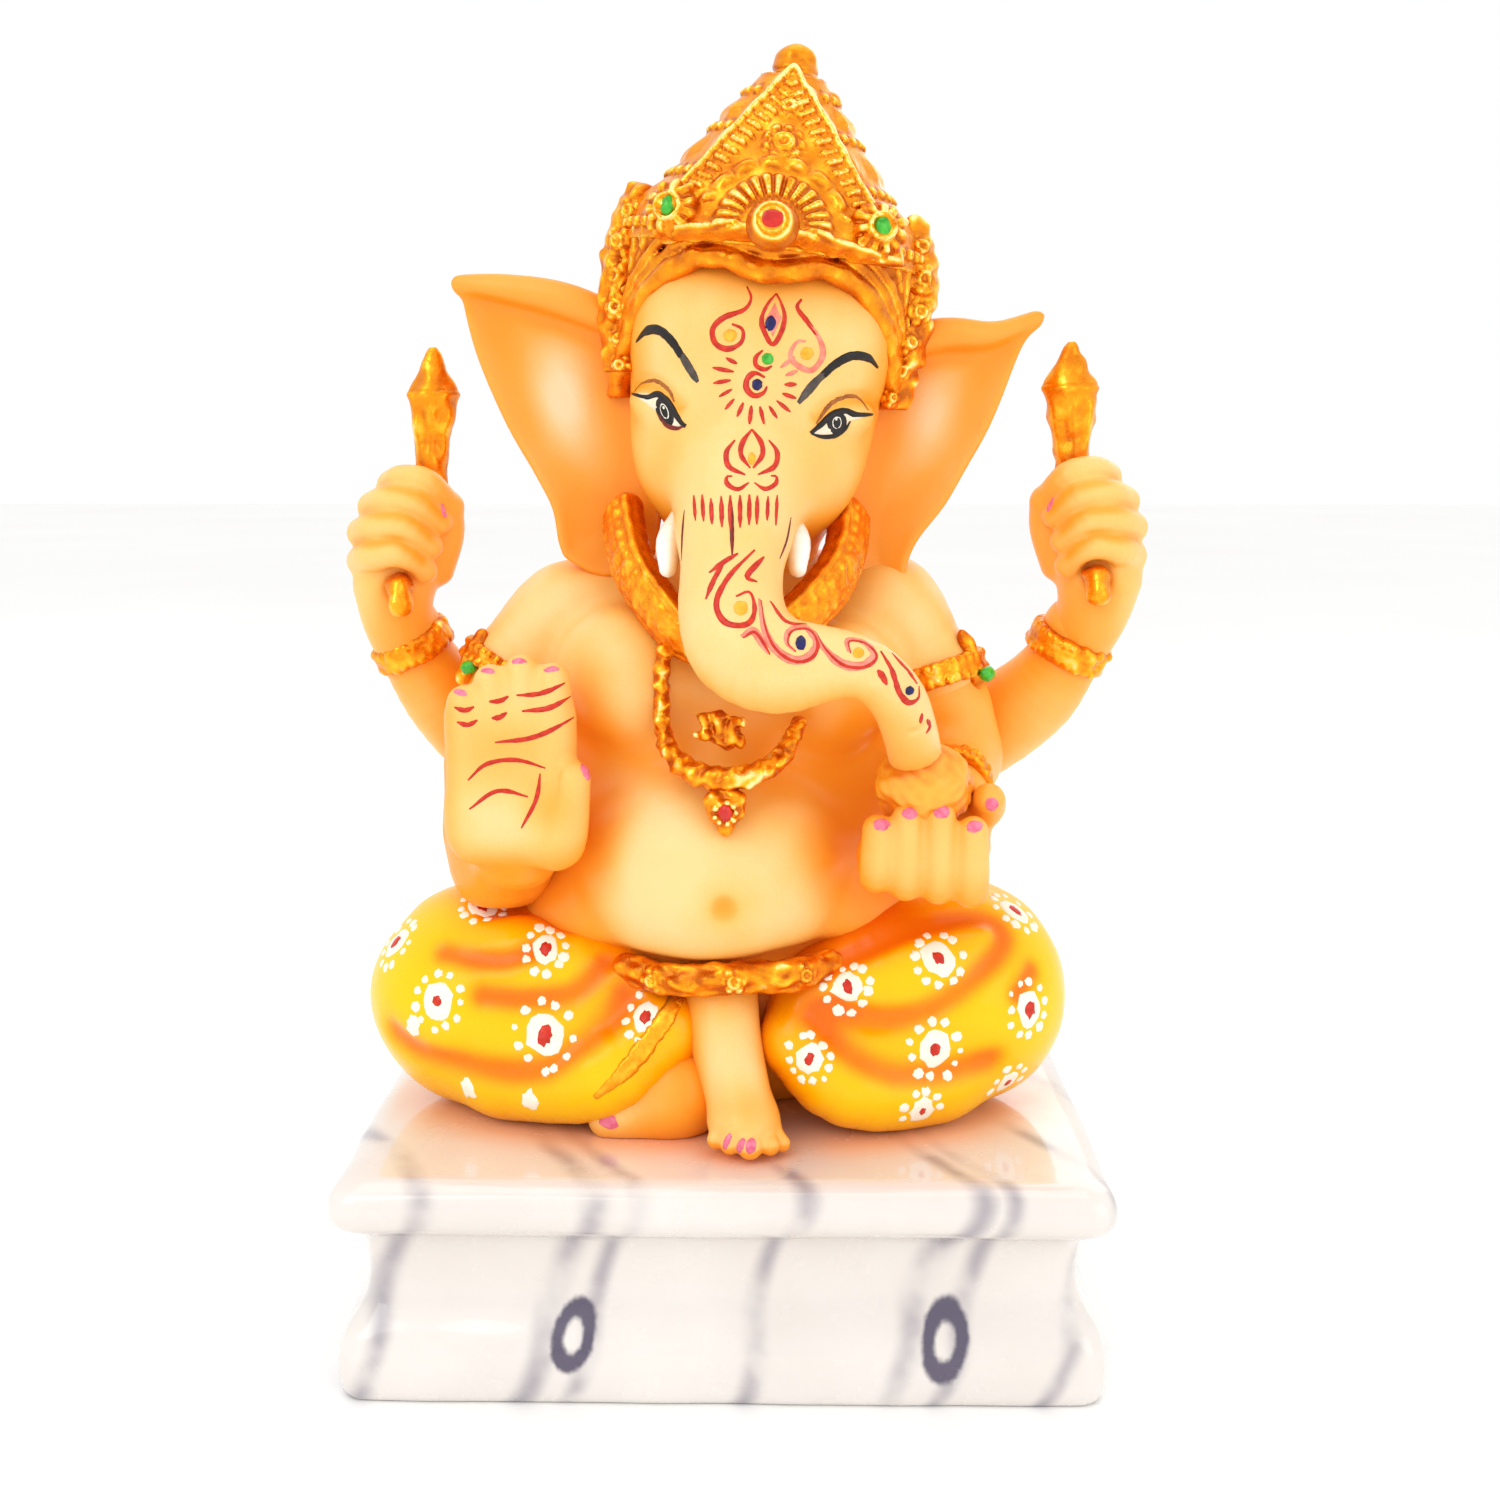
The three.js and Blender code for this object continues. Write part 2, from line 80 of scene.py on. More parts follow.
# ------------------------------------------------------------------ fields


def norm(v):
    return np.sqrt(np.einsum("ij,ij->i", v, v))


def smooth(stops, per=4, closed=False):
    """Points along a smooth curve through the stops; extra columns, such as a radius, go along."""
    s = np.array(stops, float)
    ring = np.vstack([s[-1:], s, s[:2]] if closed else [2 * s[0] - s[1], s, 2 * s[-1] - s[-2]])
    t = np.linspace(0, 1, per, endpoint=False)[:, None]
    pieces = []
    for a, b, c, d in zip(ring, ring[1:], ring[2:], ring[3:]):
        cubic = (3 * b - a - 3 * c + d) * t**3
        pieces.append(0.5 * (2 * b + (c - a) * t + (2 * a - 5 * b + 4 * c - d) * t**2 + cubic))
    points = np.vstack(pieces)
    return points if closed else np.vstack([points, s[-1]])


def turned(turn):
    return np.array(Euler([math.radians(a) for a in turn]).to_matrix(), np.float32)


def ball(centre, radii, turn=(0, 0, 0)):
    """An ellipsoid."""
    spin = turned(turn)
    middle = np.array(centre, np.float32)
    size = np.array(radii, np.float32)

    def field(p):
        q = (p - middle) @ spin
        near = norm(q / size)
        return near * (near - 1) / np.maximum(norm(q / size**2), 1e-6)

    return field


def along(line):
    """Distance to a chain of round cones. Each row of the line is x, y, z, radius."""
    rows = np.array(line, np.float32)

    def field(p):
        best = np.full(len(p), 1e6, np.float32)
        for a, b in zip(rows, rows[1:]):
            step = b[:3] - a[:3]
            q = p - a[:3]
            t = np.clip(q @ step / max(float(step @ step), 1e-9), 0, 1)
            best = np.minimum(best, norm(q - t[:, None] * step) - (a[3] + t * (b[3] - a[3])))
        return best

    return field


def limb(stops, per=4):
    """A round-ended tube whose stops are x, y, z, radius."""
    return along(smooth(stops, per))


def soft_min(a, b, k):
    h = np.maximum(k - np.abs(a - b), 0) / k
    return np.minimum(a, b) - h * h * k / 4


def blend(k, *fields):
    """Fields joined with a fillet of about k millimetres."""

    def field(p):
        d = fields[0](p)
        for other in fields[1:]:
            d = soft_min(d, other(p), k)
        return d

    return field


def cut(k, field, *cutters):
    """A field with others taken away from it."""

    def left(p):
        d = field(p)
        for cutter in cutters:
            d = -soft_min(-d, cutter(p), k)
        return d

    return left


def slope(field, p, step=0.15):
    g = np.empty_like(p)
    for k in range(3):
        off = np.zeros(3, np.float32)
        off[k] = step
        g[:, k] = (field(p + off) - field(p - off)) / (2 * step)
    return g


def settled(field, points, rounds=5):
    """Points moved onto the surface of a field."""
    p = np.array(points, np.float32)
    for _ in range(rounds):
        g = slope(field, p)
        p = p - (field(p) / np.maximum(np.einsum("ij,ij->i", g, g), 0.05))[:, None] * g
    return p


def trace(field, stops, per=4):
    """Distance to a curve laid on a field's surface."""
    line = settled(field, smooth(stops, per))
    return along(np.hstack([line, np.zeros((len(line), 1))]))


def carved(field, *marks):
    """A field with lines pressed in: each mark is (stops, width, depth); a negative depth raises."""
    traced = [(trace(field, stops), width, depth) for stops, width, depth in marks]

    def out(p):
        d = field(p)
        for curve, width, depth in traced:
            d = d + depth * np.exp(-((curve(p) / width) ** 2))
        return d

    return out


def above(height, field):
    """The part of a field above a height."""
    return lambda p: np.maximum(field(p), height - p[:, 2])


def ripple(p, size, seed):
    """A smooth random wave from about -1 to 1."""
    rng = np.random.default_rng(seed)
    total = np.zeros(len(p), np.float32)
    for _ in range(7):
        way = rng.normal(size=3)
        way = (way / np.linalg.norm(way) * 2 * math.pi / size).astype(np.float32)
        total += np.sin(p @ way + rng.uniform(0, 2 * math.pi))
    return total / 3


def rippled(field, size, depth, seed):
    return lambda p: field(p) + depth * ripple(p, size, seed)


HEAD_TURN = turned((0, HEAD_TILT, 0))


def to_head(p):
    """Points in the head's own frame: origin at the skull's centre, not tilted."""
    return (p - SKULL.astype(np.float32)) @ HEAD_TURN


def from_head(point):
    return HEAD_TURN @ np.array(point, float) + SKULL


def on_head(field):
    return lambda p: field(to_head(p))


def outline_distance(u, v, outline):
    """Signed distance to a closed outline in a plane, negative inside."""
    best = np.full(len(u), 1e9, np.float32)
    sign = np.ones(len(u), np.float32)
    for (ax, ay), (bx, by) in zip(outline, np.roll(outline, -1, axis=0)):
        ex, ey = bx - ax, by - ay
        wx, wy = u - ax, v - ay
        t = np.clip((wx * ex + wy * ey) / (ex * ex + ey * ey), 0, 1)
        best = np.minimum(best, (wx - ex * t) ** 2 + (wy - ey * t) ** 2)
        over, under, side = v >= ay, v < by, ex * wy > ey * wx
        sign = np.where((over & under & side) | (~over & ~under & ~side), -sign, sign)
    return sign * np.sqrt(best)


# ------------------------------------------------------------------ meshes from fields

CORNERS = np.array([(a, b, c) for a in (0, 1) for b in (0, 1) for c in (0, 1)])
EDGES = [(i, i | bit) for i in range(8) for bit in (4, 2, 1) if not i & bit]
BLOCK = 4  # fine cells along each side of a coarse block


def grid_values(field, low, cell, blocks):
    """The field on a grid. Far from the surface a block keeps its middle's value."""
    middles = np.stack(np.meshgrid(*[np.arange(n) for n in blocks], indexing="ij"), -1)
    spots = (low + (middles.reshape(-1, 3) + 0.5) * BLOCK * cell).astype(np.float32)
    rough = field(spots)
    fine = np.repeat(rough[:, None], BLOCK**3, axis=1)
    near = np.abs(rough) < BLOCK * cell * 1.35 + 1.0
    step = np.arange(BLOCK)
    offsets = np.stack(np.meshgrid(step, step, step, indexing="ij"), -1).reshape(-1, 3)
    starts = middles.reshape(-1, 3)[near] * BLOCK
    inner = (starts[:, None] + offsets[None]).reshape(-1, 3)
    fine[near] = field((low + inner * cell).astype(np.float32)).reshape(-1, BLOCK**3)
    shaped = fine.reshape(*blocks, BLOCK, BLOCK, BLOCK).transpose(0, 3, 1, 4, 2, 5)
    return shaped.reshape([n * BLOCK for n in blocks])


def close_edges(values, cell):
    """Makes the grid's outer faces lie outside, so that a clipped form is capped."""
    for axis in range(3):
        for end in (0, -1):
            face = [slice(None)] * 3
            face[axis] = end
            values[tuple(face)] = np.maximum(values[tuple(face)], cell * 0.5)


def surface_net(values, low, cell):
    """Vertices and quads of the surface where the grid's values cross zero."""
    inside = values < 0
    n = np.array(values.shape) - 1
    count = sum(
        inside[a : n[0] + a, b : n[1] + b, c : n[2] + c].astype(np.int8) for a, b, c in CORNERS
    )
    active = (count > 0) & (count < 8)
    cells = np.argwhere(active)
    ids = np.full(active.shape, -1, np.int32)
    ids[active] = np.arange(len(cells))
    around = np.stack([values[tuple((cells + c).T)] for c in CORNERS], axis=1)
    total = np.zeros((len(cells), 3))
    hits = np.zeros(len(cells))
    for i, j in EDGES:
        crossing = (around[:, i] < 0) != (around[:, j] < 0)
        gap = np.where(crossing, around[:, i] - around[:, j], 1)
        t = around[:, i] / gap
        total += crossing[:, None] * (CORNERS[i] + t[:, None] * (CORNERS[j] - CORNERS[i]))
        hits += crossing
    points = low + (cells + total / hits[:, None]) * cell
    quads = []
    for axis in range(3):
        u, v = np.eye(3, dtype=int)[(axis + 1) % 3], np.eye(3, dtype=int)[(axis + 2) % 3]
        ahead = np.roll(inside, -1, axis=axis)
        change = inside != ahead
        g = np.argwhere(change)
        other = [(axis + 1) % 3, (axis + 2) % 3]
        keep = (g[:, axis] < n[axis]) & (g[:, other] >= 1).all(1) & (g[:, other] < n[other]).all(1)
        g = g[keep]
        ring = [ids[tuple(c.T)] for c in (g, g - u, g - u - v, g - v)]
        quad = np.stack(ring, axis=1)
        flip = ~inside[tuple(g.T)]
        quad[flip] = quad[flip][:, ::-1]
        quads.append(quad)
    return points.astype(np.float32), np.vstack(quads)


def mesh_object(name, points_mm, faces):
    """An object from points in millimetres and faces with any number of corners."""
    mesh = bpy.data.meshes.new(name)
    if isinstance(faces, np.ndarray):
        mesh.vertices.add(len(points_mm))
        mesh.vertices.foreach_set("co", (np.asarray(points_mm, float) * MM).ravel())
        mesh.loops.add(faces.size)
        mesh.loops.foreach_set("vertex_index", faces.ravel().astype(np.int32))
        mesh.polygons.add(len(faces))
        mesh.polygons.foreach_set("loop_start", np.arange(len(faces), dtype=np.int32) * faces.shape[1])
        mesh.update(calc_edges=True)
    else:
        mesh.from_pydata([tuple(c * MM for c in p) for p in points_mm], [], faces)
    mesh.validate()
    mesh.shade_smooth()
    obj = bpy.data.objects.new(name, mesh)
    bpy.context.scene.collection.objects.link(obj)
    return obj


def add_attribute(obj, name, values):
    attribute = obj.data.attributes.new(name, "FLOAT", "POINT")
    attribute.data.foreach_set("value", np.asarray(values, np.float32))


FORMS = []


def form(name, field, nodes, material, slot, cell=0.5, spread=2.0, paint=None):
    """Notes a form to be sculpted: what it replaces, and how its airbrushed orange, painted shade and painted
    light are laid on.
    """
    low, high = node_box(*nodes)
    FORMS.append(
        {
            "name": name,
            "field": field,
            "nodes": nodes,
            "material": material,
            "slot": slot,
            "cell": cell,
            "low": low - spread,
            "high": high + spread,
            "paint": paint,
        }
    )


HAZE = {"cell": 2.0, "pad": 18.0}  # the coarse grid of everything, for shading hollows


def whole_grid():
    """The distance to the nearest form, on a coarse grid over the idol."""
    low = np.min([f["low"] for f in FORMS], axis=0) - HAZE["pad"]
    high = np.max([f["high"] for f in FORMS], axis=0) + HAZE["pad"]
    shape = np.ceil((high - low) / HAZE["cell"]).astype(int) + 1
    grid = np.full(shape, HAZE["pad"], np.float32)
    for f in FORMS:
        first = np.floor((f["low"] - HAZE["pad"] - low) / HAZE["cell"]).astype(int)
        last = np.ceil((f["high"] + HAZE["pad"] - low) / HAZE["cell"]).astype(int)
        first, last = np.maximum(first, 0), np.minimum(last, shape - 1)
        axes = [np.arange(a, b + 1) for a, b in zip(first, last)]
        spots = np.stack(np.meshgrid(*axes, indexing="ij"), -1).reshape(-1, 3)
        d = f["field"]((low + spots * HAZE["cell"]).astype(np.float32))
        where = tuple(spots.T)
        grid[where] = np.minimum(grid[where], d)
    return low, grid


def look_up(low, grid, p):
    """Trilinear values of the coarse grid."""
    q = (p - low) / HAZE["cell"]
    base = np.clip(np.floor(q).astype(int), 0, np.array(grid.shape) - 2)
    t = np.clip(q - base, 0, 1)
    total = np.zeros(len(p))
    for corner in CORNERS:
        weight = np.prod(np.where(corner, t, 1 - t), axis=1)
        total += weight * grid[tuple((base + corner).T)]
    return total


def hollowness(low, grid, p, n):
    """0 in the open, towards 1 in a fold or between neighbouring forms."""
    total = np.zeros(len(p))
    for reach, share in ((3.0, 0.3), (7.0, 0.4), (14.0, 0.3)):
        total += share * np.clip(1 - look_up(low, grid, p + n * reach) / reach, 0, 1)
    return total


def sculpt(f, low_all, grid_all):
    """The mesh of a form, with its attribute of airbrushed orange and painted shade and light, and its edge
    attribute, which the gold paint turns into painted highlights.
    """
    blocks = np.ceil((f["high"] - f["low"]) / (f["cell"] * BLOCK)).astype(int) + 1
    values = grid_values(f["field"], f["low"], f["cell"], blocks)
    close_edges(values, f["cell"])
    points, quads = surface_net(values, f["low"], f["cell"])
    normals = slope(f["field"], points)
    strength = np.maximum(np.einsum("ij,ij->i", normals, normals), 0.2)[:, None]
    fits = ((points > f["low"] + f["cell"]) & (points < f["high"] - f["cell"])).all(1)
    for _ in range(2):
        step = f["field"](points)[:, None] * normals / strength
        points = np.where(fits[:, None], points - np.clip(step, -0.5, 0.5), points)
    normals /= np.maximum(norm(normals), 1e-6)[:, None]
    obj = mesh_object(f["name"], points, quads)
    hollow = hollowness(low_all, grid_all, points, normals)
    # The paint functions lay airbrushed orange together with painted shade in hollows and under forms and
    # painted highlights; without one, the attribute is only the painted shade of the hollows.
    airbrush_and_painted_light = f["paint"](points, normals, hollow) if f["paint"] else hollow
    add_attribute(obj, "airbrush_and_painted_light", np.clip(airbrush_and_painted_light, 0, 1))
    # Edge is how much the surface bulges; the gold paint brightens it into painted highlights on raised
    # edges.
    inner = f["field"](points - normals * 0.7) / 0.7
    outer = f["field"](points + normals * 0.7) / 0.7
    add_attribute(obj, "edge", np.clip(0.5 + (inner + 1) * 0.9 - (1 - outer) * 0.9, 0, 1))
    finish_piece(obj, f["material"], f["nodes"])
    return obj


def finish_piece(obj, material, nodes=()):
    obj.data.materials.append(material)
    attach(obj, BODY)
    if nodes:
        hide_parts(*nodes)


def spot(p, centre, width):
    """A soft round spot of paint."""
    return np.exp(-((norm(p - np.array(centre, np.float32)) / width) ** 2))


def rise(value, start, end):
    """0 before start, 1 after end, with soft shoulders; start may be above end."""
    t = np.clip((value - start) / (end - start), 0, 1)
    return t * t * (3 - 2 * t)


# ------------------------------------------------------------------ materials


def linear(code):
    """A colour such as f8cf8c in linear light, with alpha."""
    parts = [int(code[i : i + 2], 16) / 255 for i in (0, 2, 4)]
    return [c / 12.92 if c <= 0.04045 else ((c + 0.055) / 1.055) ** 2.4 for c in parts] + [1.0]


class Shader:
    """A node material with a Principled surface and a few shorthands."""

    def __init__(self, name, **constants):
        self.material = bpy.data.materials.new(name)
        self.material.use_nodes = True
        self.nodes = self.material.node_tree.nodes
        self.links = self.material.node_tree.links
        self.surface = self.nodes["Principled BSDF"]
        for socket, value in constants.items():
            self.surface.inputs[socket.replace("_", " ")].default_value = value
        self.place = self.nodes.new("ShaderNodeTexCoord").outputs["Object"]

    def link(self, source, target):
        self.links.new(source, target)

    def put(self, socket, value):
        """Links an output, or sets a plain value."""
        if isinstance(value, bpy.types.NodeSocket):
            self.link(value, socket)
        else:
            socket.default_value = value

    def attribute(self, name):
        node = self.nodes.new("ShaderNodeAttribute")
        node.attribute_name = name
        return node.outputs["Fac"]

    def noise(self, size_mm, detail=3.0, stretch=None, seed=0.0):
        node = self.nodes.new("ShaderNodeTexNoise")
        node.inputs["Scale"].default_value = 1 / (size_mm * MM)
        node.inputs["Detail"].default_value = detail
        shift = self.nodes.new("ShaderNodeMapping")
        shift.inputs["Location"].default_value = (seed, seed * 0.7, -seed)
        if stretch:
            shift.inputs["Scale"].default_value = stretch
        self.link(self.place, shift.inputs["Vector"])
        self.link(shift.outputs["Vector"], node.inputs["Vector"])
        return node.outputs["Fac"]

    def math(self, operation, a, b=0.0, c=0.0):
        node = self.nodes.new("ShaderNodeMath")
        node.operation = operation
        for socket, value in zip(node.inputs, (a, b, c)):
            self.put(socket, value)
        return node.outputs[0]

    def spread(self, value, low, high, to_low=0.0, to_high=1.0):
        node = self.nodes.new("ShaderNodeMapRange")
        node.interpolation_type = "SMOOTHSTEP"
        for name, v in (("Value", value), ("From Min", low), ("From Max", high)):
            self.put(node.inputs[name], v)
        self.put(node.inputs["To Min"], to_low)
        self.put(node.inputs["To Max"], to_high)
        return node.outputs["Result"]

    def ramp(self, value, stops):
        """A colour that changes with a value: stops are (place, colour code)."""
        node = self.nodes.new("ShaderNodeValToRGB")
        elements = node.color_ramp.elements
        while len(elements) < len(stops):
            elements.new(0.5)
        for element, (at, code) in zip(elements, stops):
            element.position = at
            element.color = linear(code)
        self.link(value, node.inputs["Fac"])
        return node.outputs["Color"]

    def mix(self, share, a, b):
        node = self.nodes.new("ShaderNodeMix")
        node.data_type = "RGBA"
        self.put(node.inputs[0], share)
        for socket, value in ((node.inputs[6], a), (node.inputs[7], b)):
            self.put(socket, linear(value) if isinstance(value, str) else value)
        return node.outputs[2]

    def bump(self, height, depth_mm, strength=1.0):
        node = self.nodes.new("ShaderNodeBump")
        node.inputs["Strength"].default_value = strength
        node.inputs["Distance"].default_value = depth_mm * MM
        self.link(height, node.inputs["Height"])
        self.link(node.outputs["Normal"], self.surface.inputs["Normal"])

    def colour(self, value):
        self.link(value, self.surface.inputs["Base Color"])

    def roughness(self, value):
        self.link(value, self.surface.inputs["Roughness"])


def speckled(shader, attribute, amount=0.12):
    """An attribute of airbrushed orange and painted shade and light, with drifts and the fine speckle of
    sprayed paint.
    """
    drift = shader.math("MULTIPLY_ADD", shader.noise(9, 2), 0.24, -0.12)
    grain = shader.math("MULTIPLY_ADD", shader.noise(0.35, 1, seed=2.0), amount, -amount / 2)
    level = shader.math("ADD", shader.attribute(attribute), drift)
    return shader.math("ADD", level, grain)


def skin_material():
    s = Shader(
        "skin_paint",
        Subsurface_Weight=0.12,
        Subsurface_Scale=0.002,
        Coat_Weight=0.12,
        Coat_Roughness=0.25,
        IOR=1.36,
    )
    s.surface.inputs["Subsurface Radius"].default_value = (1.0, 0.45, 0.15)
    tone = s.ramp(
        speckled(s, "airbrush_and_painted_light"),
        [(0.0, "fed692"), (0.25, "fec56c"), (0.5, "feb34c"), (0.75, "ffa832"), (1.0, "ffa024")],
    )
    s.colour(tone)
    s.roughness(s.spread(s.noise(4), 0.3, 0.7, 0.3, 0.46))
    s.bump(s.noise(0.8, 4), 0.03, 0.5)
    return s.material


def ear_material():
    s = Shader(
        "ear_paint",
        Subsurface_Weight=0.12,
        Subsurface_Scale=0.002,
        Coat_Weight=0.12,
        Coat_Roughness=0.25,
        IOR=1.36,
    )
    level = speckled(s, "airbrush_and_painted_light")
    tone = s.ramp(
        level,
        [(0.0, "fed692"), (0.25, "fec56c"), (0.5, "feb34c"), (0.75, "ffa832"), (1.0, "ffa024")],
    )
    rosy = s.ramp(level, [(0.0, "ffdcbe"), (0.35, "ffc386"), (0.7, "ffa846"), (1.0, "ff9c26")])
    s.colour(s.mix(s.attribute("blush"), tone, rosy))
    s.roughness(s.spread(s.noise(4), 0.3, 0.7, 0.3, 0.46))
    s.bump(s.noise(0.8, 4), 0.03, 0.5)
    return s.material


def gold_material():
    s = Shader("gold_paint", Metallic=0.75, Coat_Weight=0.08, Coat_Roughness=0.12, IOR=1.5)
    # Painted highlights: the gold is brightest on raised edges, broken up by noise.
    patchy_highlight = s.math("MULTIPLY_ADD", s.noise(1.1, 5, seed=1.0), 0.5, -0.25)
    level = s.math("ADD", s.attribute("edge"), patchy_highlight)
    # Painted shade: the gold is darker in its hollows.
    dark = s.math("MULTIPLY", s.attribute("airbrush_and_painted_light"), 0.35)
    level = s.math("SUBTRACT", level, dark)
    tone = s.ramp(
        level,
        [(0.0, "c86400"), (0.25, "e88200"), (0.5, "f69c04"), (0.72, "ffc228"), (1.0, "fff0a0")],
    )
    s.colour(tone)
    s.roughness(s.spread(s.noise(1.6, 4), 0.3, 0.7, 0.16, 0.42))
    s.bump(s.noise(0.9, 6, seed=3.0), 0.16, 0.6)
    return s.material


def cloth_material():
    s = Shader("dhoti_paint", Coat_Weight=0.1, Coat_Roughness=0.06, Specular_IOR_Level=0.2)
    tone = s.ramp(
        speckled(s, "airbrush_and_painted_light"),
        [(0.0, "ffd000"), (0.3, "ffc000"), (0.55, "fda600"), (0.78, "f28400"), (1.0, "e86c04")],
    )
    s.colour(tone)
    s.roughness(s.spread(s.noise(5), 0.3, 0.7, 0.2, 0.34))
    s.bump(s.noise(1.4, 4), 0.05, 0.5)
    return s.material


def ivory_material():
    s = Shader("ivory_paint", Coat_Weight=0.5, Coat_Roughness=0.15, IOR=1.5)
    s.colour(s.ramp(speckled(s, "airbrush_and_painted_light"), [(0.0, "fffdf6"), (0.6, "fbf0dc"), (1.0, "eccb9a")]))
    s.roughness(s.spread(s.noise(2), 0.3, 0.7, 0.22, 0.4))
    s.bump(s.noise(0.7, 4), 0.04, 0.5)
    return s.material


def sweet_material():
    s = Shader("sweet_paint", Coat_Weight=0.3, Coat_Roughness=0.3, IOR=1.46)
    level = s.math("ADD", s.attribute("airbrush_and_painted_light"), s.math("MULTIPLY_ADD", s.noise(1.5, 4), 0.6, -0.3))
    s.colour(s.ramp(level, [(0.0, "f8b030"), (0.35, "f29a18"), (0.7, "e8800c"), (1.0, "d66606")]))
    s.roughness(s.spread(s.noise(1.2, 4), 0.3, 0.7, 0.35, 0.6))
    s.bump(s.noise(0.9, 5), 0.12, 0.6)
    return s.material


def enamel(name, dark, light, rough=0.3, coat=0.15):
    """A brushed-on enamel colour, a little uneven."""
    s = Shader(name, Coat_Weight=coat, Coat_Roughness=0.15, IOR=1.4)
    s.colour(s.ramp(s.noise(0.9, 3), [(0.3, dark), (0.7, light)]))
    s.roughness(s.spread(s.noise(0.6, 3), 0.3, 0.7, rough, rough + 0.18))
    s.bump(s.noise(0.4, 3), 0.03, 0.5)
    return s.material


def vein_plane(s, lean, slant, at, width, wobble):
    """How strongly a slanting vein shows: a plane through the block, a little wavy."""
    parts = s.nodes.new("ShaderNodeSeparateXYZ")
    s.link(s.place, parts.inputs[0])
    x, y, z = parts.outputs
    across = s.math("SUBTRACT", x, s.math("MULTIPLY", z, lean))
    across = s.math("ADD", across, s.math("MULTIPLY_ADD", y, slant, slant * 38 * MM))
    across = s.math("ADD", across, wobble)
    away = s.math("ABSOLUTE", s.math("SUBTRACT", across, at * MM))
    return s.spread(away, 0.0, width * 2.1 * MM, 1.0, 0.0)


def marble_material():
    s = Shader("marble_paint", Coat_Weight=0.9, Coat_Roughness=0.06, IOR=1.5)
    cloud = s.ramp(s.noise(28, 4), [(0.35, "ebe5df"), (0.7, "e2dad3")])
    wobble = s.math("MULTIPLY_ADD", s.noise(22, 1, seed=4.0), 0.005, -0.0025)
    strength = s.spread(s.noise(14, 3, seed=7.0), 0.38, 0.62, 0.2, 1.0)
    veins = None
    for lean, at, width in VEINS:
        one = vein_plane(s, lean, 0.55, at, width, wobble)
        veins = one if veins is None else s.math("MAXIMUM", veins, one)
    veins = s.math("MULTIPLY", veins, strength)
    toned = s.mix(s.math("MULTIPLY", veins, 0.68), cloud, "857d8c")
    grain = s.math("MULTIPLY_ADD", s.noise(2.2, 4), 0.5, -0.25)
    blot = s.spread(s.math("ADD", s.attribute("blotch"), grain), 0.3, 0.8)
    toned = s.mix(blot, toned, "4f465e")
    # Painted warm reflection and shade of the figure on the plinth's top.
    toned = s.mix(s.spread(s.attribute("airbrush_and_painted_light"), 0.05, 1.2), toned, "fcc49c")
    s.colour(toned)
    s.roughness(s.spread(s.noise(6), 0.3, 0.7, 0.16, 0.3))
    s.bump(s.noise(5, 3), 0.05, 0.5)
    return s.material


VEINS = [  # slanting veins: lean (x for each z), place at the foot of the front, width
    (0.30, -53.6, 1.5),
    (0.37, -30.0, 1.5),
    (0.34, -23.3, 1.2),
    (0.32, 1.6, 1.4),
    (0.41, 24.0, 1.5),
    (0.30, 32.0, 1.2),
    (0.30, 47.9, 1.2),
    (0.34, 66.0, 1.4),
    (0.30, 84.0, 1.2),
]

SKIN = skin_material()
EAR = ear_material()
GOLD = gold_material()
CLOTH = cloth_material()
IVORY = ivory_material()
SWEET = sweet_material()
MARBLE = marble_material()
RED_STONE = enamel("red_stone", "b80c04", "e0240c", 0.1, 0.5)
GREEN_STONE = enamel("green_stone", "1c9410", "48c832", 0.12, 0.5)
RED_PAINT = enamel("red_line_paint", "b81400", "dc3410")
ROSE_PAINT = enamel("rose_line_paint", "e8745c", "f69a84")
DARK_PAINT = enamel("dark_line_paint", "080404", "1c100c")
GREY_PAINT = enamel("grey_line_paint", "3c342e", "5a5048")
BROWN_PAINT = enamel("brown_line_paint", "8a4a10", "b86a1c")
WHITE_PAINT = enamel("white_dot_paint", "fbf2dc", "fffbee")
CREAM_PAINT = enamel("eye_cream_paint", "f2d8b8", "fae8cc")
YELLOW_PAINT = enamel("yellow_dot_paint", "f9a40c", "ffc23a")
BLUE_PAINT = enamel("blue_dot_paint", "0c0840", "1e1868")
NAIL_PAINT = enamel("nail_paint", "e0587c", "f08aa4")
MAROON_PAINT = enamel("maroon_line_paint", "5a0c04", "8c2010")

# ------------------------------------------------------------------ body forms


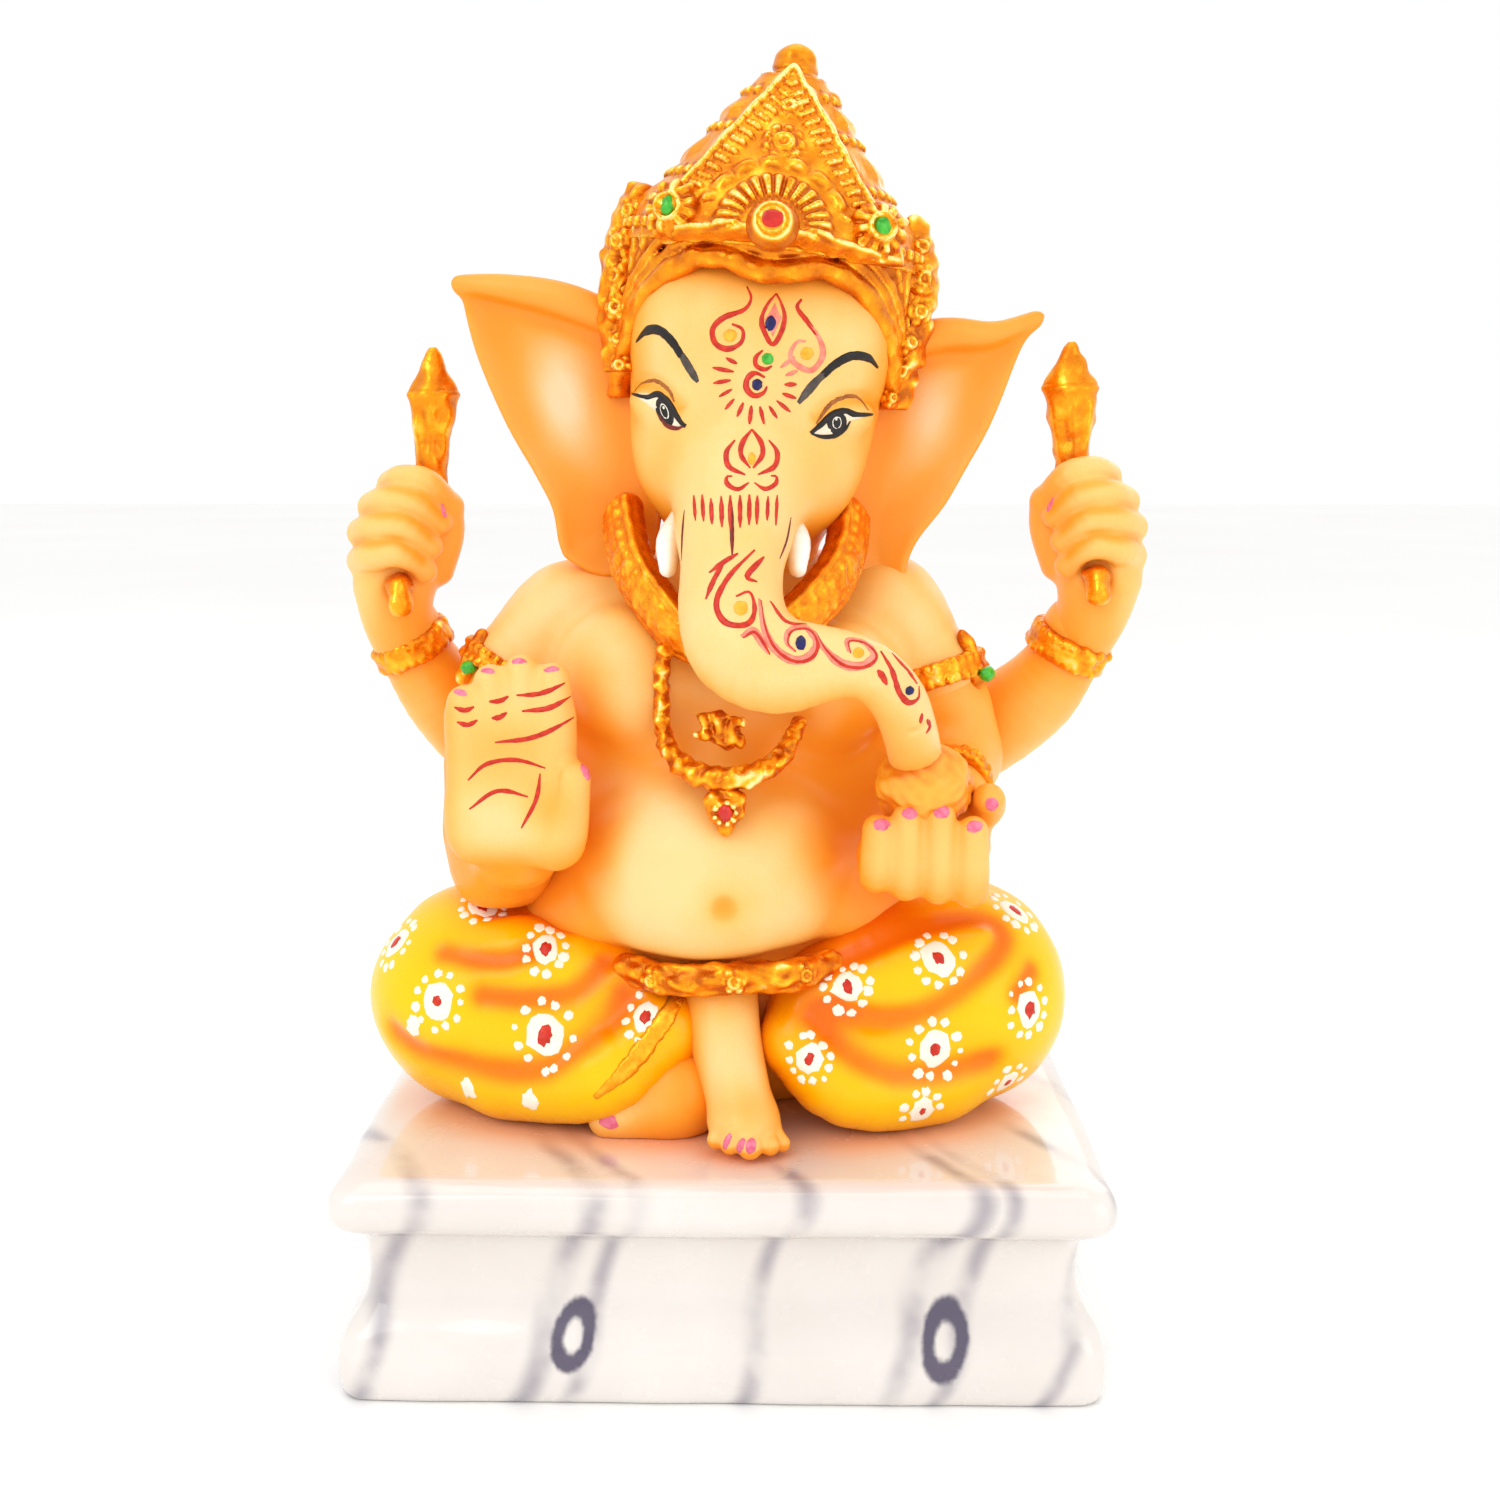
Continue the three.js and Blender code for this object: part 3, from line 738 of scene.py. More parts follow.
def torso_form():
    body = blend(
        5.0,
        ball((-2, -4, 75), (23.5, 22, 19.5)),
        ball((-15, 2, 73), (14, 13.5, 17)),
        ball((13.5, 2, 75), (14, 13.5, 17)),
        ball((-1, 1, 98), (26, 16, 20)),
        ball((-15, 3, 90), (15.5, 12, 18)),
        ball((14.5, 3, 90), (16, 12, 18)),
        limb([(-25, 4, 110, 9.6), (0, 5, 114, 11), (24, 4, 112, 9.6)]),
        limb([(-24, 4, 111, 9.6), (-33, 2, 104.5, 8.3)]),
        limb([(24, 4, 112, 9.4), (33, 0.6, 103.5, 7.2)]),
        ball((0, 8, 50), (33, 19, 20)),
        ball((-21, 0, 65), (13, 13, 9.5)),
        ball((20, 1, 66), (12, 13, 9.5)),
        limb([(0, 3, 112, 12), (1.5, 2, 117, 11)]),
    )
    body = blend(
        3.0,
        body,
        ball((-14, -8.5, 104.5), (12.4, 10, 11.4), (0, 12, 0)),
        ball((15.5, -8, 103.5), (11.4, 9.6, 10.6), (0, -12, 0)),
    )
    navel = [(0.3, -26, 72.5), (0.3, -26, 71.9)]
    spine = [(0, 20, 62), (0, 19, 84), (0, 17, 106)]
    groin = [(-22, -12, 60.5), (-12, -22, 56.5), (0, -24, 55.5), (12, -22, 56.5), (20, -13, 60)]
    body = carved(body, (navel, 1.3, 1.3), (spine, 3.0, 1.3), (groin, 2.4, 1.4))
    fold_right = trace(body, [(-23, -9, 101), (-20, -14, 95.5), (-12, -17, 93), (-6, -17, 94.5)])
    fold_left = trace(body, [(24, -8, 100), (20, -13, 94.5), (12, -16, 92.5), (6, -17, 94)])
    body = above(SEAT, rippled(body, 26, 0.25, 11))

    def paint(p, n, hollow):
        x, z = p[:, 0], p[:, 2]
        flank = rise(np.abs(x + 1.0), 12, 25) * rise(z, 106, 92) * (1 - 0.6 * rise(p[:, 1], 0, 14))
        low = rise(z, 65, 58) * 0.6
        folds = 0.4 * np.exp(-((fold_right(p) / 3.6) ** 2))
        folds += 0.5 * np.exp(-((fold_left(p) / 5.0) ** 2))
        # Painted shadow under the trunk on the chest, and between the belly and the left arm.
        shade = 0.3 * spot(p, (13, -17, 95), 10) + 0.25 * spot(p, (20, -12, 82), 9)
        navel_tint = 0.6 * spot(p, (0.3, -25.6, 72.2), 1.7) + 0.25 * spot(p, (0.3, -25, 72.2), 5)
        # Painted highlights: paler on the front of the belly and the top of the right shoulder.
        painted_highlight = 0.2 * spot(p, (-9, -22, 80), 13) + 0.15 * spot(p, (-27, -2, 116), 12)
        return 0.1 + 0.45 * hollow + 0.8 * flank + low + folds + shade + navel_tint - painted_highlight

    form("torso_body", body, ["torso"], SKIN, "skin", 0.6, 4.0, paint)
    seat_form(body)


SEAT_FOLDS = [  # drapes of the cloth across the hips, seen from behind
    ([(-30, 18, 60), (-16, 26, 54), (0, 28, 52), (16, 26, 54), (30, 18, 60)], 2.4, 1.0),
    ([(-26, 22, 50), (-12, 27, 44), (0, 28, 43), (12, 27, 44), (26, 22, 50)], 2.4, 1.0),
]


def seat_form(body):
    """The dhoti where it wraps the hips behind the legs, a millimetre over the body."""

    def cloth(p):
        hem = 64.0 - 0.05 * np.abs(p[:, 0]) + 0.5 * ripple(p, 18, 31)
        d = -soft_min(1.1 - body(p), hem - p[:, 2], 0.8)
        return -soft_min(-d, p[:, 1] - 4.0, 0.8)

    draped = above(SEAT, carved(cloth, *SEAT_FOLDS))
    paint = dhoti_paint(cloth, SEAT_FOLDS, (0, 0, 0, 1))
    form("dhoti_seat", draped, ["torso"], CLOTH, "cloth", 0.6, 3.0, paint)


TRUNK = [
    (4.4, -11.5, 144, 11.2),
    (3.2, -17.0, 136.2, 9.3),
    (1.8, -22.4, 128.6, 8.0),
    (1.4, -26.6, 122.4, 7.5),
    (1.5, -30.2, 117, 7.6),
    (3.4, -33.2, 112.4, 7.7),
    (8.0, -35.2, 109.8, 7.0),
    (13.4, -36.2, 110.0, 5.6),
    (18.2, -36.4, 110.0, 4.5),
    (22.0, -35.6, 108.3, 4.0),
    (25.2, -33.0, 104.6, 3.9),
    (27.2, -28.6, 99.7, 3.9),
    (28.4, -24.0, 95.4, 4.0),
]
EYES = {
    "right": np.array((-9.4, -15.2, 145.0)),
    "left": np.array((17.4, -15.8, 143.3)),
}


def head_form():
    skull = blend(
        6.0,
        on_head(ball((0, 0, 3), (19.4, 19, 20.5))),
        on_head(ball((-7, -5.0, 10.5), (11.8, 11.8, 11))),
        on_head(ball((7, -5.0, 10.5), (11.8, 11.8, 11))),
        on_head(ball((-6, -4, -9), (11.2, 13, 12))),
        on_head(ball((6, -4, -9), (11.2, 13, 12))),
        limb([(4, 1, 137, 13), (2, 3, 121, 11.6)]),
    )
    face = blend(6.0, skull, along(smooth(TRUNK[:3], 4)))
    face = blend(3.0, face, along(smooth(TRUNK, 3)))
    face = blend(3.5, face, ball((3.0, -15, 122.5), (5.5, 6, 4.5), (24, 0, 0)))
    dips = [
        on_head(ball((side * 10.4, -23.0, 1.6), (6.4, 5.0, 5.0), (0, side * 30, 0))) for side in (-1, 1)
    ]
    face = cut(6.0, face, *dips)
    lids = [ball(tuple(EYES[k] + (0, 1.8, 0)), (5.0, 4.0, 3.1), (0, t, 0)) for k, t in LID_TURNS]
    face = blend(1.6, face, *lids)
    face = carved(
        face,
        ([(-14.2, -9, 148.4), (-12.4, -14, 149.8), (-9.0, -17, 148.9), (-6.0, -20, 145.9)], 0.7, 0.45),
        ([(22.4, -9, 145.6), (19.8, -14, 147.2), (16.6, -17, 147.0), (13.6, -20, 144.6)], 0.7, 0.45),
        ([(22.0, -41, 108.5), (21.0, -36, 113)], 0.7, 0.2),
        ([(25.6, -39, 106), (25.6, -36, 109)], 0.7, 0.2),
        ([(30.2, -33.5, 101.4), (27.5, -35.5, 99.6)], 0.7, 0.2),
    )
    face = rippled(face, 24, 0.2, 12)
    right_fold = trace(face, [(-14, -9, 147.6), (-12.2, -14, 148.8), (-9.2, -17, 148.0), (-6.6, -20, 145.4)])
    left_fold = trace(face, [(22, -9, 144.8), (19.6, -14, 146.4), (16.8, -17, 146.0), (14, -20, 143.8)])

    def paint(p, n, hollow):
        q = to_head(p)
        # Painted shade: in the creases above the eyes, on the brow under the crown's rim, under the cheeks,
        # and on faces that look down under the trunk.
        lids = 0.5 * np.exp(-((right_fold(p) / 1.1) ** 2)) + 0.5 * np.exp(-((left_fold(p) / 1.1) ** 2))
        under_eye = 0.22 * spot(p, (-7.5, -19, 139), 4.5) + 0.22 * spot(p, (14.5, -20, 137.5), 4.5)
        rim = rise(q[:, 2], 14, 19) * 0.3
        temple = rise(np.abs(q[:, 0]), 14.5, 19.5) * rise(p[:, 2], 118, 126) * 0.5
        jaw = rise(q[:, 2], -8, -18) * rise(p[:, 1], -22, -13) * 0.5
        trunk_underside_shade = rise(-n[:, 2], 0.1, 0.9) * rise(p[:, 2], 120, 112) * 0.3
        back = rise(p[:, 1], -4, 6) * 0.4
        return 0.08 + 0.55 * hollow + lids + under_eye + rim + temple + jaw + trunk_underside_shade + back

    form("head_and_trunk", face, ["head"], SKIN, "skin", 0.5, 5.0, paint)


LID_TURNS = (("right", 27), ("left", -18))


def ear_form(side, outline, fold, dish):
    """A dished ear with a rolled top edge. The outline and fold are in the XZ plane."""
    edge = smooth(outline, 5, closed=True)
    low, high = node_box(f"ear_{side}")
    middle_y = (low[1] + high[1]) / 2
    roll = along([(x, middle_y - 2.2, z, r) for x, z, r in smooth(fold, 5)])

    def sheet(p):
        d = outline_distance(p[:, 0], p[:, 2], edge)
        depth = np.clip(-d / 7, 0, 1.6)
        y_mid = middle_y - 1.2 + 3.6 * (1 - np.exp(-depth * 1.6))
        thick = 1.25 + 0.6 * np.clip(-d / 12, 0, 1)
        shell = np.abs(p[:, 1] - y_mid) - thick
        rounded = -soft_min(-(d + 0.9), -shell, 1.6)
        return rounded - 0.35

    body = rippled(blend(2.2, sheet, roll), 18, 0.2, 13)
    centre = np.array(dish, np.float32)

    def paint(p, n, hollow):
        d = outline_distance(p[:, 0], p[:, 2], edge)
        # Painted highlight: the middle of the dish is paler where it faces the front.
        front = np.clip(-n[:, 1] + 0.2, 0, 1)
        inner = norm((p[:, [0, 2]] - centre[:2]) * np.array((1 / centre[2], 1 / centre[3])))
        pale = np.exp(-(inner**2)) * front
        rim = np.exp(-(((d + 4.5) / 3.2) ** 2)) * 0.35
        fold_line = np.exp(-((roll(p) - 0.9) / 1.5) ** 2) * 0.55
        top = np.exp(-((np.maximum(roll(p), 0) / 0.9) ** 2)) * 0.5
        return 0.62 + rim + fold_line + 0.5 * hollow - 0.72 * pale - top * 0.9

    form(f"ear_{side}_shell", body, [f"ear_{side}"], EAR, "skin", 0.45, 5.0, paint)


def ears():
    ear_form(
        "right",
        [(-10, 157), (-16, 160.6), (-22, 163), (-29, 164.8), (-36, 165.6), (-41.2, 164.8), (-40.6, 161)]
        + [(-38.4, 152.4), (-34.6, 142.6), (-30, 134.6), (-27.4, 129.6), (-26.4, 124), (-24.6, 121.4)]
        + [(-18, 119), (-10, 124)],
        [(-40.4, 164.0, 0.9), (-33, 163.2, 1.9), (-25, 161.6, 2.4), (-17, 158.2, 2.2), (-11, 153.6, 1.6)],
        (-25.5, 146, 5.5, 10.0),
    )
    ear_form(
        "left",
        [(19, 153), (24, 156.6), (29.5, 158.4), (36, 158.6), (42.4, 157.6), (48.4, 159.6), (46, 154.6)]
        + [(43.2, 147.4), (39.6, 139), (35.2, 131.4), (30.6, 125.4), (28.8, 121), (28.6, 117.6)]
        + [(22, 117), (17, 127)],
        [(46.8, 158.6, 0.8), (40, 156.4, 1.6), (33, 156.4, 2.0), (26, 154.2, 2.0), (20.6, 149.4, 1.5)],
        (31.5, 144, 5.5, 9.0),
    )


def tusk_form(side):
    x = -7.6 if side < 0 else 10.8
    tusk = limb([(x - side * 1.4, -17, 129, 1.9), (x, -20.6, 126, 2.1), (x + side * 0.2, -23.4, 122.4, 1.3)])
    name = side_name(side)
    form(f"tusk_{name}_tooth", tusk, [f"tusk_{name}"], IVORY, "ivory", 0.3, 1.6)


# ------------------------------------------------------------------ arms and hands


def slab(centre, half, corner, turn=(0, 0, 0)):
    """A block with rounded edges."""
    spin = turned(turn)
    middle = np.array(centre, np.float32)
    size = np.array(half, np.float32) - corner

    def field(p):
        q = np.abs((p - middle) @ spin) - size
        return norm(np.maximum(q, 0)) + np.minimum(q.max(axis=1), 0) - corner

    return field


FINGER_TOPS = [(-38.0, 105.2), (-34.0, 108.3), (-29.4, 109.8), (-24.8, 108.6)]  # x and top of each


def right_front_arm():
    arm = blend(
        3.0,
        limb([(-33.6, 2, 104, 8.1), (-37.2, 1, 92, 8), (-37, -1, 80, 8)]),
        ball((-35.5, -4.5, 74.5), (8.5, 9.5, 8.5)),
        limb(
            [(-36.6, -2, 79.6, 7.8), (-34.0, -9, 78.2, 7.6), (-31.8, -15, 80, 7.2), (-31.2, -19, 84.6, 6.2)]
        ),
    )
    palm = blend(
        3.0,
        slab((-31.2, -22.2, 91.4), (9.4, 3.7, 12.2), 3.6),
        ball((-25.4, -23.4, 84.2), (4.6, 4.0, 6.4)),
        ball((-36.2, -23.0, 85.4), (4.6, 3.6, 6.6)),
    )
    fingers = [
        limb([(x * 0.96 - 1.2, -22.4, 92, 2.7), (x, -22.8, top - 6, 2.75), (x, -23.0, top - 2.5, 2.5)])
        for x, top in FINGER_TOPS
    ]
    hand = blend(1.7, palm, *fingers)
    thumb = limb([(-24.4, -22.6, 81.6, 3.6), (-22.7, -24.2, 87, 3.0), (-21.9, -24.9, 91.6, 2.6)])
    hand = blend(1.9, hand, thumb)
    whole = blend(3.5, arm, hand)
    whole = carved(whole, ([(-25.6, -27, 82.6), (-24.7, -27, 88), (-24.2, -27, 93.4)], 0.7, 0.3))

    def paint(p, n, hollow):
        x, y, z = p.T
        edge = rise(x, -37.5, -41.5) * 0.3 + rise(z, 84, 77) * 0.5
        blush = 0.3 * spot(p, (-31, -26, 97.5), 5.5) + 0.3 * spot(p, (-26, -27, 88), 3.5)
        # Painted highlights: two paler spots on the front of the hand.
        painted_highlight = 0.3 * spot(p, (-32, -27, 85), 6) + 0.25 * spot(p, (-30, -27, 103), 6)
        behind = rise(y, -20, -14) * 0.45
        return 0.26 + 0.45 * hollow + edge + blush - painted_highlight + behind

    nodes = ["front_arm_right", "front_hand_right"]
    form("front_arm_and_palm_right", whole, nodes, SKIN, "skin", 0.42, 3.0, paint)


# x, bottom and top of each finger of the hand that holds the sweet
CURLED_FINGERS = [(22.8, 74.8, 86.8), (27.2, 73.6, 88.6), (32.0, 73.1, 88.9), (36.8, 72.5, 86.6)]


def left_front_arm():
    arm = blend(
        3.0,
        limb([(33, 0.6, 103.5, 7.1), (35.6, 1.4, 97, 7), (36.6, 0.6, 90.6, 6.7)]),
        limb([(36.6, 0.6, 90.6, 6.6), (36, -7, 88.2, 5.6), (34.8, -14, 85.0, 5.2)]),
    )
    fingers = []
    for x, low, top in CURLED_FINGERS:
        stops = [
            (x + 0.2, -17, low + 4.0, 2.9),
            (x, -24.4, low + 2.3, 2.6),
            (x, -26.8, low + 6, 2.5),
            (x, -26.6, top - 2.2, 2.2),
        ]
        fingers.append(limb(stops))
    palm = ball((31, -17.6, 80), (9.4, 7.6, 5.8))
    thumb = limb([(35.4, -14.5, 82.5, 3.6), (39.0, -19.4, 86.2, 3.0), (39.4, -22.6, 88.2, 2.5)])
    hand = blend(1.6, palm, *fingers)
    whole = blend(3.0, arm, blend(2.0, hand, thumb))

    def paint(p, n, hollow):
        low = rise(p[:, 2], 80, 73) * 0.3
        edge = rise(p[:, 0], 24, 20) * 0.3
        # Painted highlight: the foremost knuckles are paler.
        knuckle_highlight = 0.25 * rise(p[:, 1], -26, -29) * rise(p[:, 2], 90, 84)
        return 0.5 + 0.4 * hollow + low + edge - knuckle_highlight

    nodes = ["front_arm_left", "front_hand_left"]
    form("front_arm_and_hand_left", whole, nodes, SKIN, "skin", 0.42, 3.0, paint)


def back_arm_form(side):
    name = side_name(side)
    wrist_x = -51 if side < 0 else 54.8
    elbow_x = 45.6 if side < 0 else 48.6
    arm = limb(
        [
            (side * 26, 11.5, 101, 8.6),
            (side * 37, 12.6, 91.4, 7.9),
            (side * elbow_x, 9.8, 98, 7.0),
            (wrist_x, 6.4, 106.6, 5.8),
            (wrist_x + side * 1.2, 5.6, 110.5, 5.6),
        ],
        5,
    )

    def paint(p, n, hollow):
        wrist = 0.4 * spot(p, (wrist_x, 4, 107), 7)
        # Painted light: faces that look up are paler.
        top = rise(n[:, 2], 0.2, 1.0) * 0.12
        inner = rise(np.abs(p[:, 0]), 42, 33) * 0.2
        return 0.34 + 0.5 * hollow + wrist + inner - top

    arm = rippled(arm, 22, 0.2, 14)
    form(f"back_arm_{name}_limb", arm, [f"back_arm_{name}"], SKIN, "skin", 0.5, 3.0, paint)


FIST = {  # finger by finger from the top, each x, y, z from its knuckle round to its tip
    "right": {
        "fingers": [
            [(-53.0, 4, 133.4), (-50.4, 0, 134.2), (-46.6, -2.0, 133.8), (-43.8, 1.5, 130.4)],
            [(-56.0, 3, 130.0), (-52.4, -2.2, 131.2), (-48.2, -3.8, 131.2), (-45.0, -0.8, 128.0)],
            [(-57.6, 2, 126.0), (-54.2, -3.0, 127.2), (-49.8, -4.4, 127.4), (-46.4, -1.6, 124.2)],
            [(-57.8, 2, 121.6), (-55.0, -3.2, 122.8), (-50.8, -4.4, 123.2), (-47.4, -1.6, 120.4)],
        ],
        "palm": ((-51.0, 4.0, 125.6), (7.6, 6.2, 11.0), (0, 17, 0)),
        "heel": [(-53.2, 2.6, 117.4, 6.2), (-52.8, 3.6, 112.6, 5.7), (-51.6, 5.6, 108, 5.5)],
        "thumb": [(-46.4, 5, 120, 2.6), (-44.4, 3.4, 125.6, 2.6), (-43.9, 2.2, 129.8, 2.3)],
    },
    "left": {
        "fingers": [
            [(59.6, 4, 134.8), (57.0, 0, 135.6), (53.0, -2.0, 135.0), (50.2, 1.5, 131.6)],
            [(62.4, 3, 131.0), (58.8, -2.2, 132.2), (54.4, -3.8, 132.2), (51.2, -0.8, 129.0)],
            [(63.6, 2, 127.0), (60.2, -3.0, 128.2), (55.8, -4.4, 128.4), (52.4, -1.6, 125.2)],
            [(63.6, 2, 122.6), (60.6, -3.2, 123.8), (56.4, -4.4, 124.2), (53.2, -1.6, 121.4)],
        ],
        "palm": ((57.2, 4.0, 126.6), (7.8, 6.2, 11.0), (0, -17, 0)),
        "heel": [(59.0, 2.6, 118.6, 6.4), (58.2, 3.6, 114, 5.8), (56.6, 5.6, 109.6, 5.5)],
        "thumb": [(52.4, 5, 121, 2.6), (50.4, 3.4, 126.6, 2.6), (49.8, 2.2, 130.8, 2.3)],
    },
}


def back_hand_form(side):
    """A fist round a staff: the fingers come over from the back of the hand, one above another."""
    name = side_name(side)
    shape = FIST[name]
    fingers = [limb([(*p, r) for p, r in zip(stops, (2.5, 2.55, 2.4, 2.1))]) for stops in shape["fingers"]]
    hand = blend(3.0, ball(*shape["palm"]), limb(shape["heel"]))
    hand = blend(0.8, hand, blend(0.7, *fingers))
    hand = blend(1.2, hand, limb(shape["thumb"]))
    stub = limb([(*p, 2.6) for p in STAFF[name]["stub"]])
    hand = cut(1.2, hand, stub)
    inward = -side
    gaps = []
    for upper, lower in zip(shape["fingers"][:-1], shape["fingers"][1:]):
        between = [tuple((np.array(a) + np.array(b)) / 2 - (0, 3, 0)) for a, b in zip(upper, lower)]
        gaps.append(trace(hand, between))

    def paint(p, n, hollow):
        x = p[:, 0] * inward
        inner = rise(x, shape["palm"][0][0] * inward + 2, shape["palm"][0][0] * inward + 9) * 0.25
        wrist = 0.45 * spot(p, (shape["heel"][2][0], 0, shape["heel"][2][2]), 6)
        # Painted shade in the grooves between the fingers.
        groove_shade = sum(0.5 * np.exp(-((gap(p) / 0.9) ** 2)) for gap in gaps)
        ring = 0.4 * spot(p, STAFF[name]["stub"][0], 4.6)
        return 0.22 + 0.3 * hollow + inner + wrist + groove_shade + ring

    form(f"back_hand_{name}_fist", hand, [f"back_hand_{name}"], SKIN, "skin", 0.4, 4.0, paint)


def laddu_form():
    sweet = ball((29.8, -22.4, 90.4), (7.2, 6.6, 6.4))

    def lumpy(p):
        return sweet(p) + 0.3 * ripple(p, 5, 21) + 0.12 * ripple(p, 1.8, 22)

    form("laddu_sweet", lumpy, ["laddu"], SWEET, "sweet", 0.35, 3.5)


# ------------------------------------------------------------------ legs and feet

RIGHT_FOLDS = [  # stops, width, depth
    ([(-43.8, -15, 62.8), (-38.3, -16, 61.6), (-33.1, -15, 60.7), (-29.6, -14, 61.4)], 1.9, 0.8),
    (
        [(-37.0, -18, 56.2), (-30.6, -18.5, 56.0), (-25.3, -18.5, 56.4)]
        + [(-21.7, -18, 57.8), (-18.6, -16, 61)],
        1.9,
        0.9,
    ),
    (
        [(-50.6, -12, 48.9), (-46.2, -16, 46.2), (-40.1, -20, 45.0), (-33.5, -22, 44.9)]
        + [(-27.2, -22, 46.2), (-22.1, -21, 48.7), (-17.9, -20, 52.2), (-15.3, -19, 56.5)],
        2.3,
        1.3,
    ),
    ([(-36.4, -8, 65.6), (-30.9, -8, 65.0), (-25.6, -10, 63.6)], 2.0, 1.6),
]
LEFT_FOLDS = [
    (
        [(15.0, -18, 61.8), (20.3, -17, 63.7), (25.7, -15, 65.1), (31.0, -13, 65.9), (36.5, -11, 66.3)]
        + [(40.9, -10, 66.1), (42.7, -11, 64.4), (41.9, -12.5, 62.0), (38.9, -15, 59.4), (35.1, -17, 56.7)]
        + [(30.8, -18.5, 54.4), (25.6, -19.5, 53.4), (20.3, -20, 54.0), (17.6, -20, 55.6)],
        1.9,
        1.1,
    ),
    (
        [(14.4, -20, 54.4), (18.2, -21.5, 49.6), (22.3, -22, 46.8), (27.6, -22, 45.3), (34.0, -20, 45.0)]
        + [(40.4, -16, 46.4)],
        2.2,
        1.2,
    ),
    ([(43.8, -13.5, 55.6), (46.6, -11.5, 58.4)], 1.9, 0.5),
]
BACK_FOLDS = [  # round the side and back of the left leg, mirrored for the right
    ([(53, 2, 62), (55, 8, 55), (51, 14, 47), (43, 18, 42)], 2.2, 1.1),
    ([(45, 12, 66), (39, 18, 60), (32, 19.5, 54)], 2.3, 1.2),
    ([(51, 11, 58), (43, 18, 50), (35, 19, 45)], 2.0, 0.9),
]


def dhoti_paint(base, folds, pocket):
    traced = [(trace(base, stops), width) for stops, width, _ in folds]

    def paint(p, n, hollow):
        total = 0.04 + 0.35 * hollow
        for curve, width in traced:
            d = curve(p)
            total = total + 0.65 * np.exp(-((d / width) ** 2)) + 0.2 * np.exp(-((d / (width * 2.4)) ** 2))
        inward = rise(np.abs(p[:, 0]), 20, 10) * 0.3
        behind = rise(p[:, 1], 4, 14) * 0.2
        return total + inward + behind + 0.7 * spot(p, pocket[:3], pocket[3])

    return paint


def dhoti_forms():
    right = blend(
        4.5,
        ball((-37, 0, 51.4), (21.2, 19.6, 18.2)),
        ball((-24, -4, 49), (19, 14, 15.6), (0, -8, 10)),
        limb([(-34, -11.5, 42.6, 8.2), (-20, -15.8, 44.6, 8.6), (-9.4, -15.4, 50.6, 6.4)]),
        limb([(-17, -11.5, 56, 7.0), (-30, -8.5, 58, 9.0)]),
    )
    folds = RIGHT_FOLDS + [([(-x, y, z) for x, y, z in stops], w, d) for stops, w, d in BACK_FOLDS]
    paint = dhoti_paint(right, folds, (-29, -6, 66, 6.5))
    body = above(SEAT, rippled(carved(right, *folds), 20, 0.25, 15))
    form("dhoti_right_leg", body, ["dhoti_leg_right"], CLOTH, "cloth", 0.5, 3.0, paint)
    left = blend(
        4.5,
        ball((34.5, 0, 52.2), (20.3, 19.6, 19)),
        ball((22, -4, 49), (17.4, 14, 15), (0, 8, -10)),
        limb([(33, -11.5, 42.6, 8.2), (20, -15.8, 43.4, 8.4), (11.6, -15.6, 48.6, 6.2)]),
        limb([(16, -11.5, 56, 7.0), (27, -8.5, 60, 8.6)]),
    )
    folds = LEFT_FOLDS + BACK_FOLDS
    paint = dhoti_paint(left, folds, (22, -10, 68, 8))
    body = above(SEAT, rippled(carved(left, *folds), 20, 0.25, 16))
    form("dhoti_left_leg", body, ["dhoti_leg_left"], CLOTH, "cloth", 0.5, 3.0, paint)


def feet_forms():
    shin = limb(
        [(-1.0, -13, 59, 5.9), (-0.2, -16.5, 51.5, 5.7), (1.4, -19.6, 44.6, 5.2), (2.8, -22.0, 39.8, 5.0)]
    )
    instep = ball((3.4, -24.4, 37.8), (5.2, 5.0, 3.8))
    toes = []
    for x, y, z, r in (
        (-1.0, -26.6, 36.6, 1.35),
        (1.2, -28.2, 36.4, 1.45),
        (4.2, -29.2, 36.5, 1.9),
        (7.2, -28.2, 36.3, 1.45),
        (9.0, -26.4, 36.0, 1.25),
    ):
        toes.append(limb([(x * 0.7 + 1.0, -24.6, 37.6, r), (x, y, z, r)]))
    foot = above(SEAT, blend(0.9, blend(3.0, shin, instep), *toes))

    def paint(p, n, hollow):
        x, y, z = p.T
        side = rise(np.abs(x - 1.8), 3.2, 6.5) * 0.25
        top = rise(z, 52, 60) * 0.4
        instep_tint = 0.3 * spot(p, (3.5, -27, 41), 4)
        # Painted shade in the gaps between the toes.
        groove_shade = 0.6 * rise(hollow, 0.45, 0.8) * rise(-y, 25, 27)
        return 0.1 + 0.35 * hollow + side + top + instep_tint + groove_shade

    form("foot_left_toes_forward", foot, ["foot_left"], SKIN, "skin", 0.34, 4.0, paint)
    sole = blend(
        3.0,
        ball((-7.4, -13.6, 40.4), (8.4, 9.0, 8.2)),
        limb([(-9, -15.5, 39.0, 5.8), (-14, -17, 37.4, 4.4), (-18.0, -17.8, 36.4, 3.0)]),
    )
    toes = [ball((-18.8, -17.8 + i * 2.6, 36.2), (2.0, 1.5, 1.8)) for i in range(4)]
    other = above(SEAT, blend(1.2, sole, *toes))

    def warm(p, n, hollow):
        crest = 0.95 * spot(p, (-3.5, -19, 42.5), 6.0)
        toes_light = rise(p[:, 0], -10, -17) * 0.35
        return 0.35 + 0.45 * hollow + crest - toes_light

    form("foot_right_folded", other, ["foot_right"], SKIN, "skin", 0.42, 4.0, warm)


# ------------------------------------------------------------------ gold work


def gold_form(name, field, node, cell, spread, paint=None):
    form(name, field, [node], GOLD, "gold", cell, spread, paint)


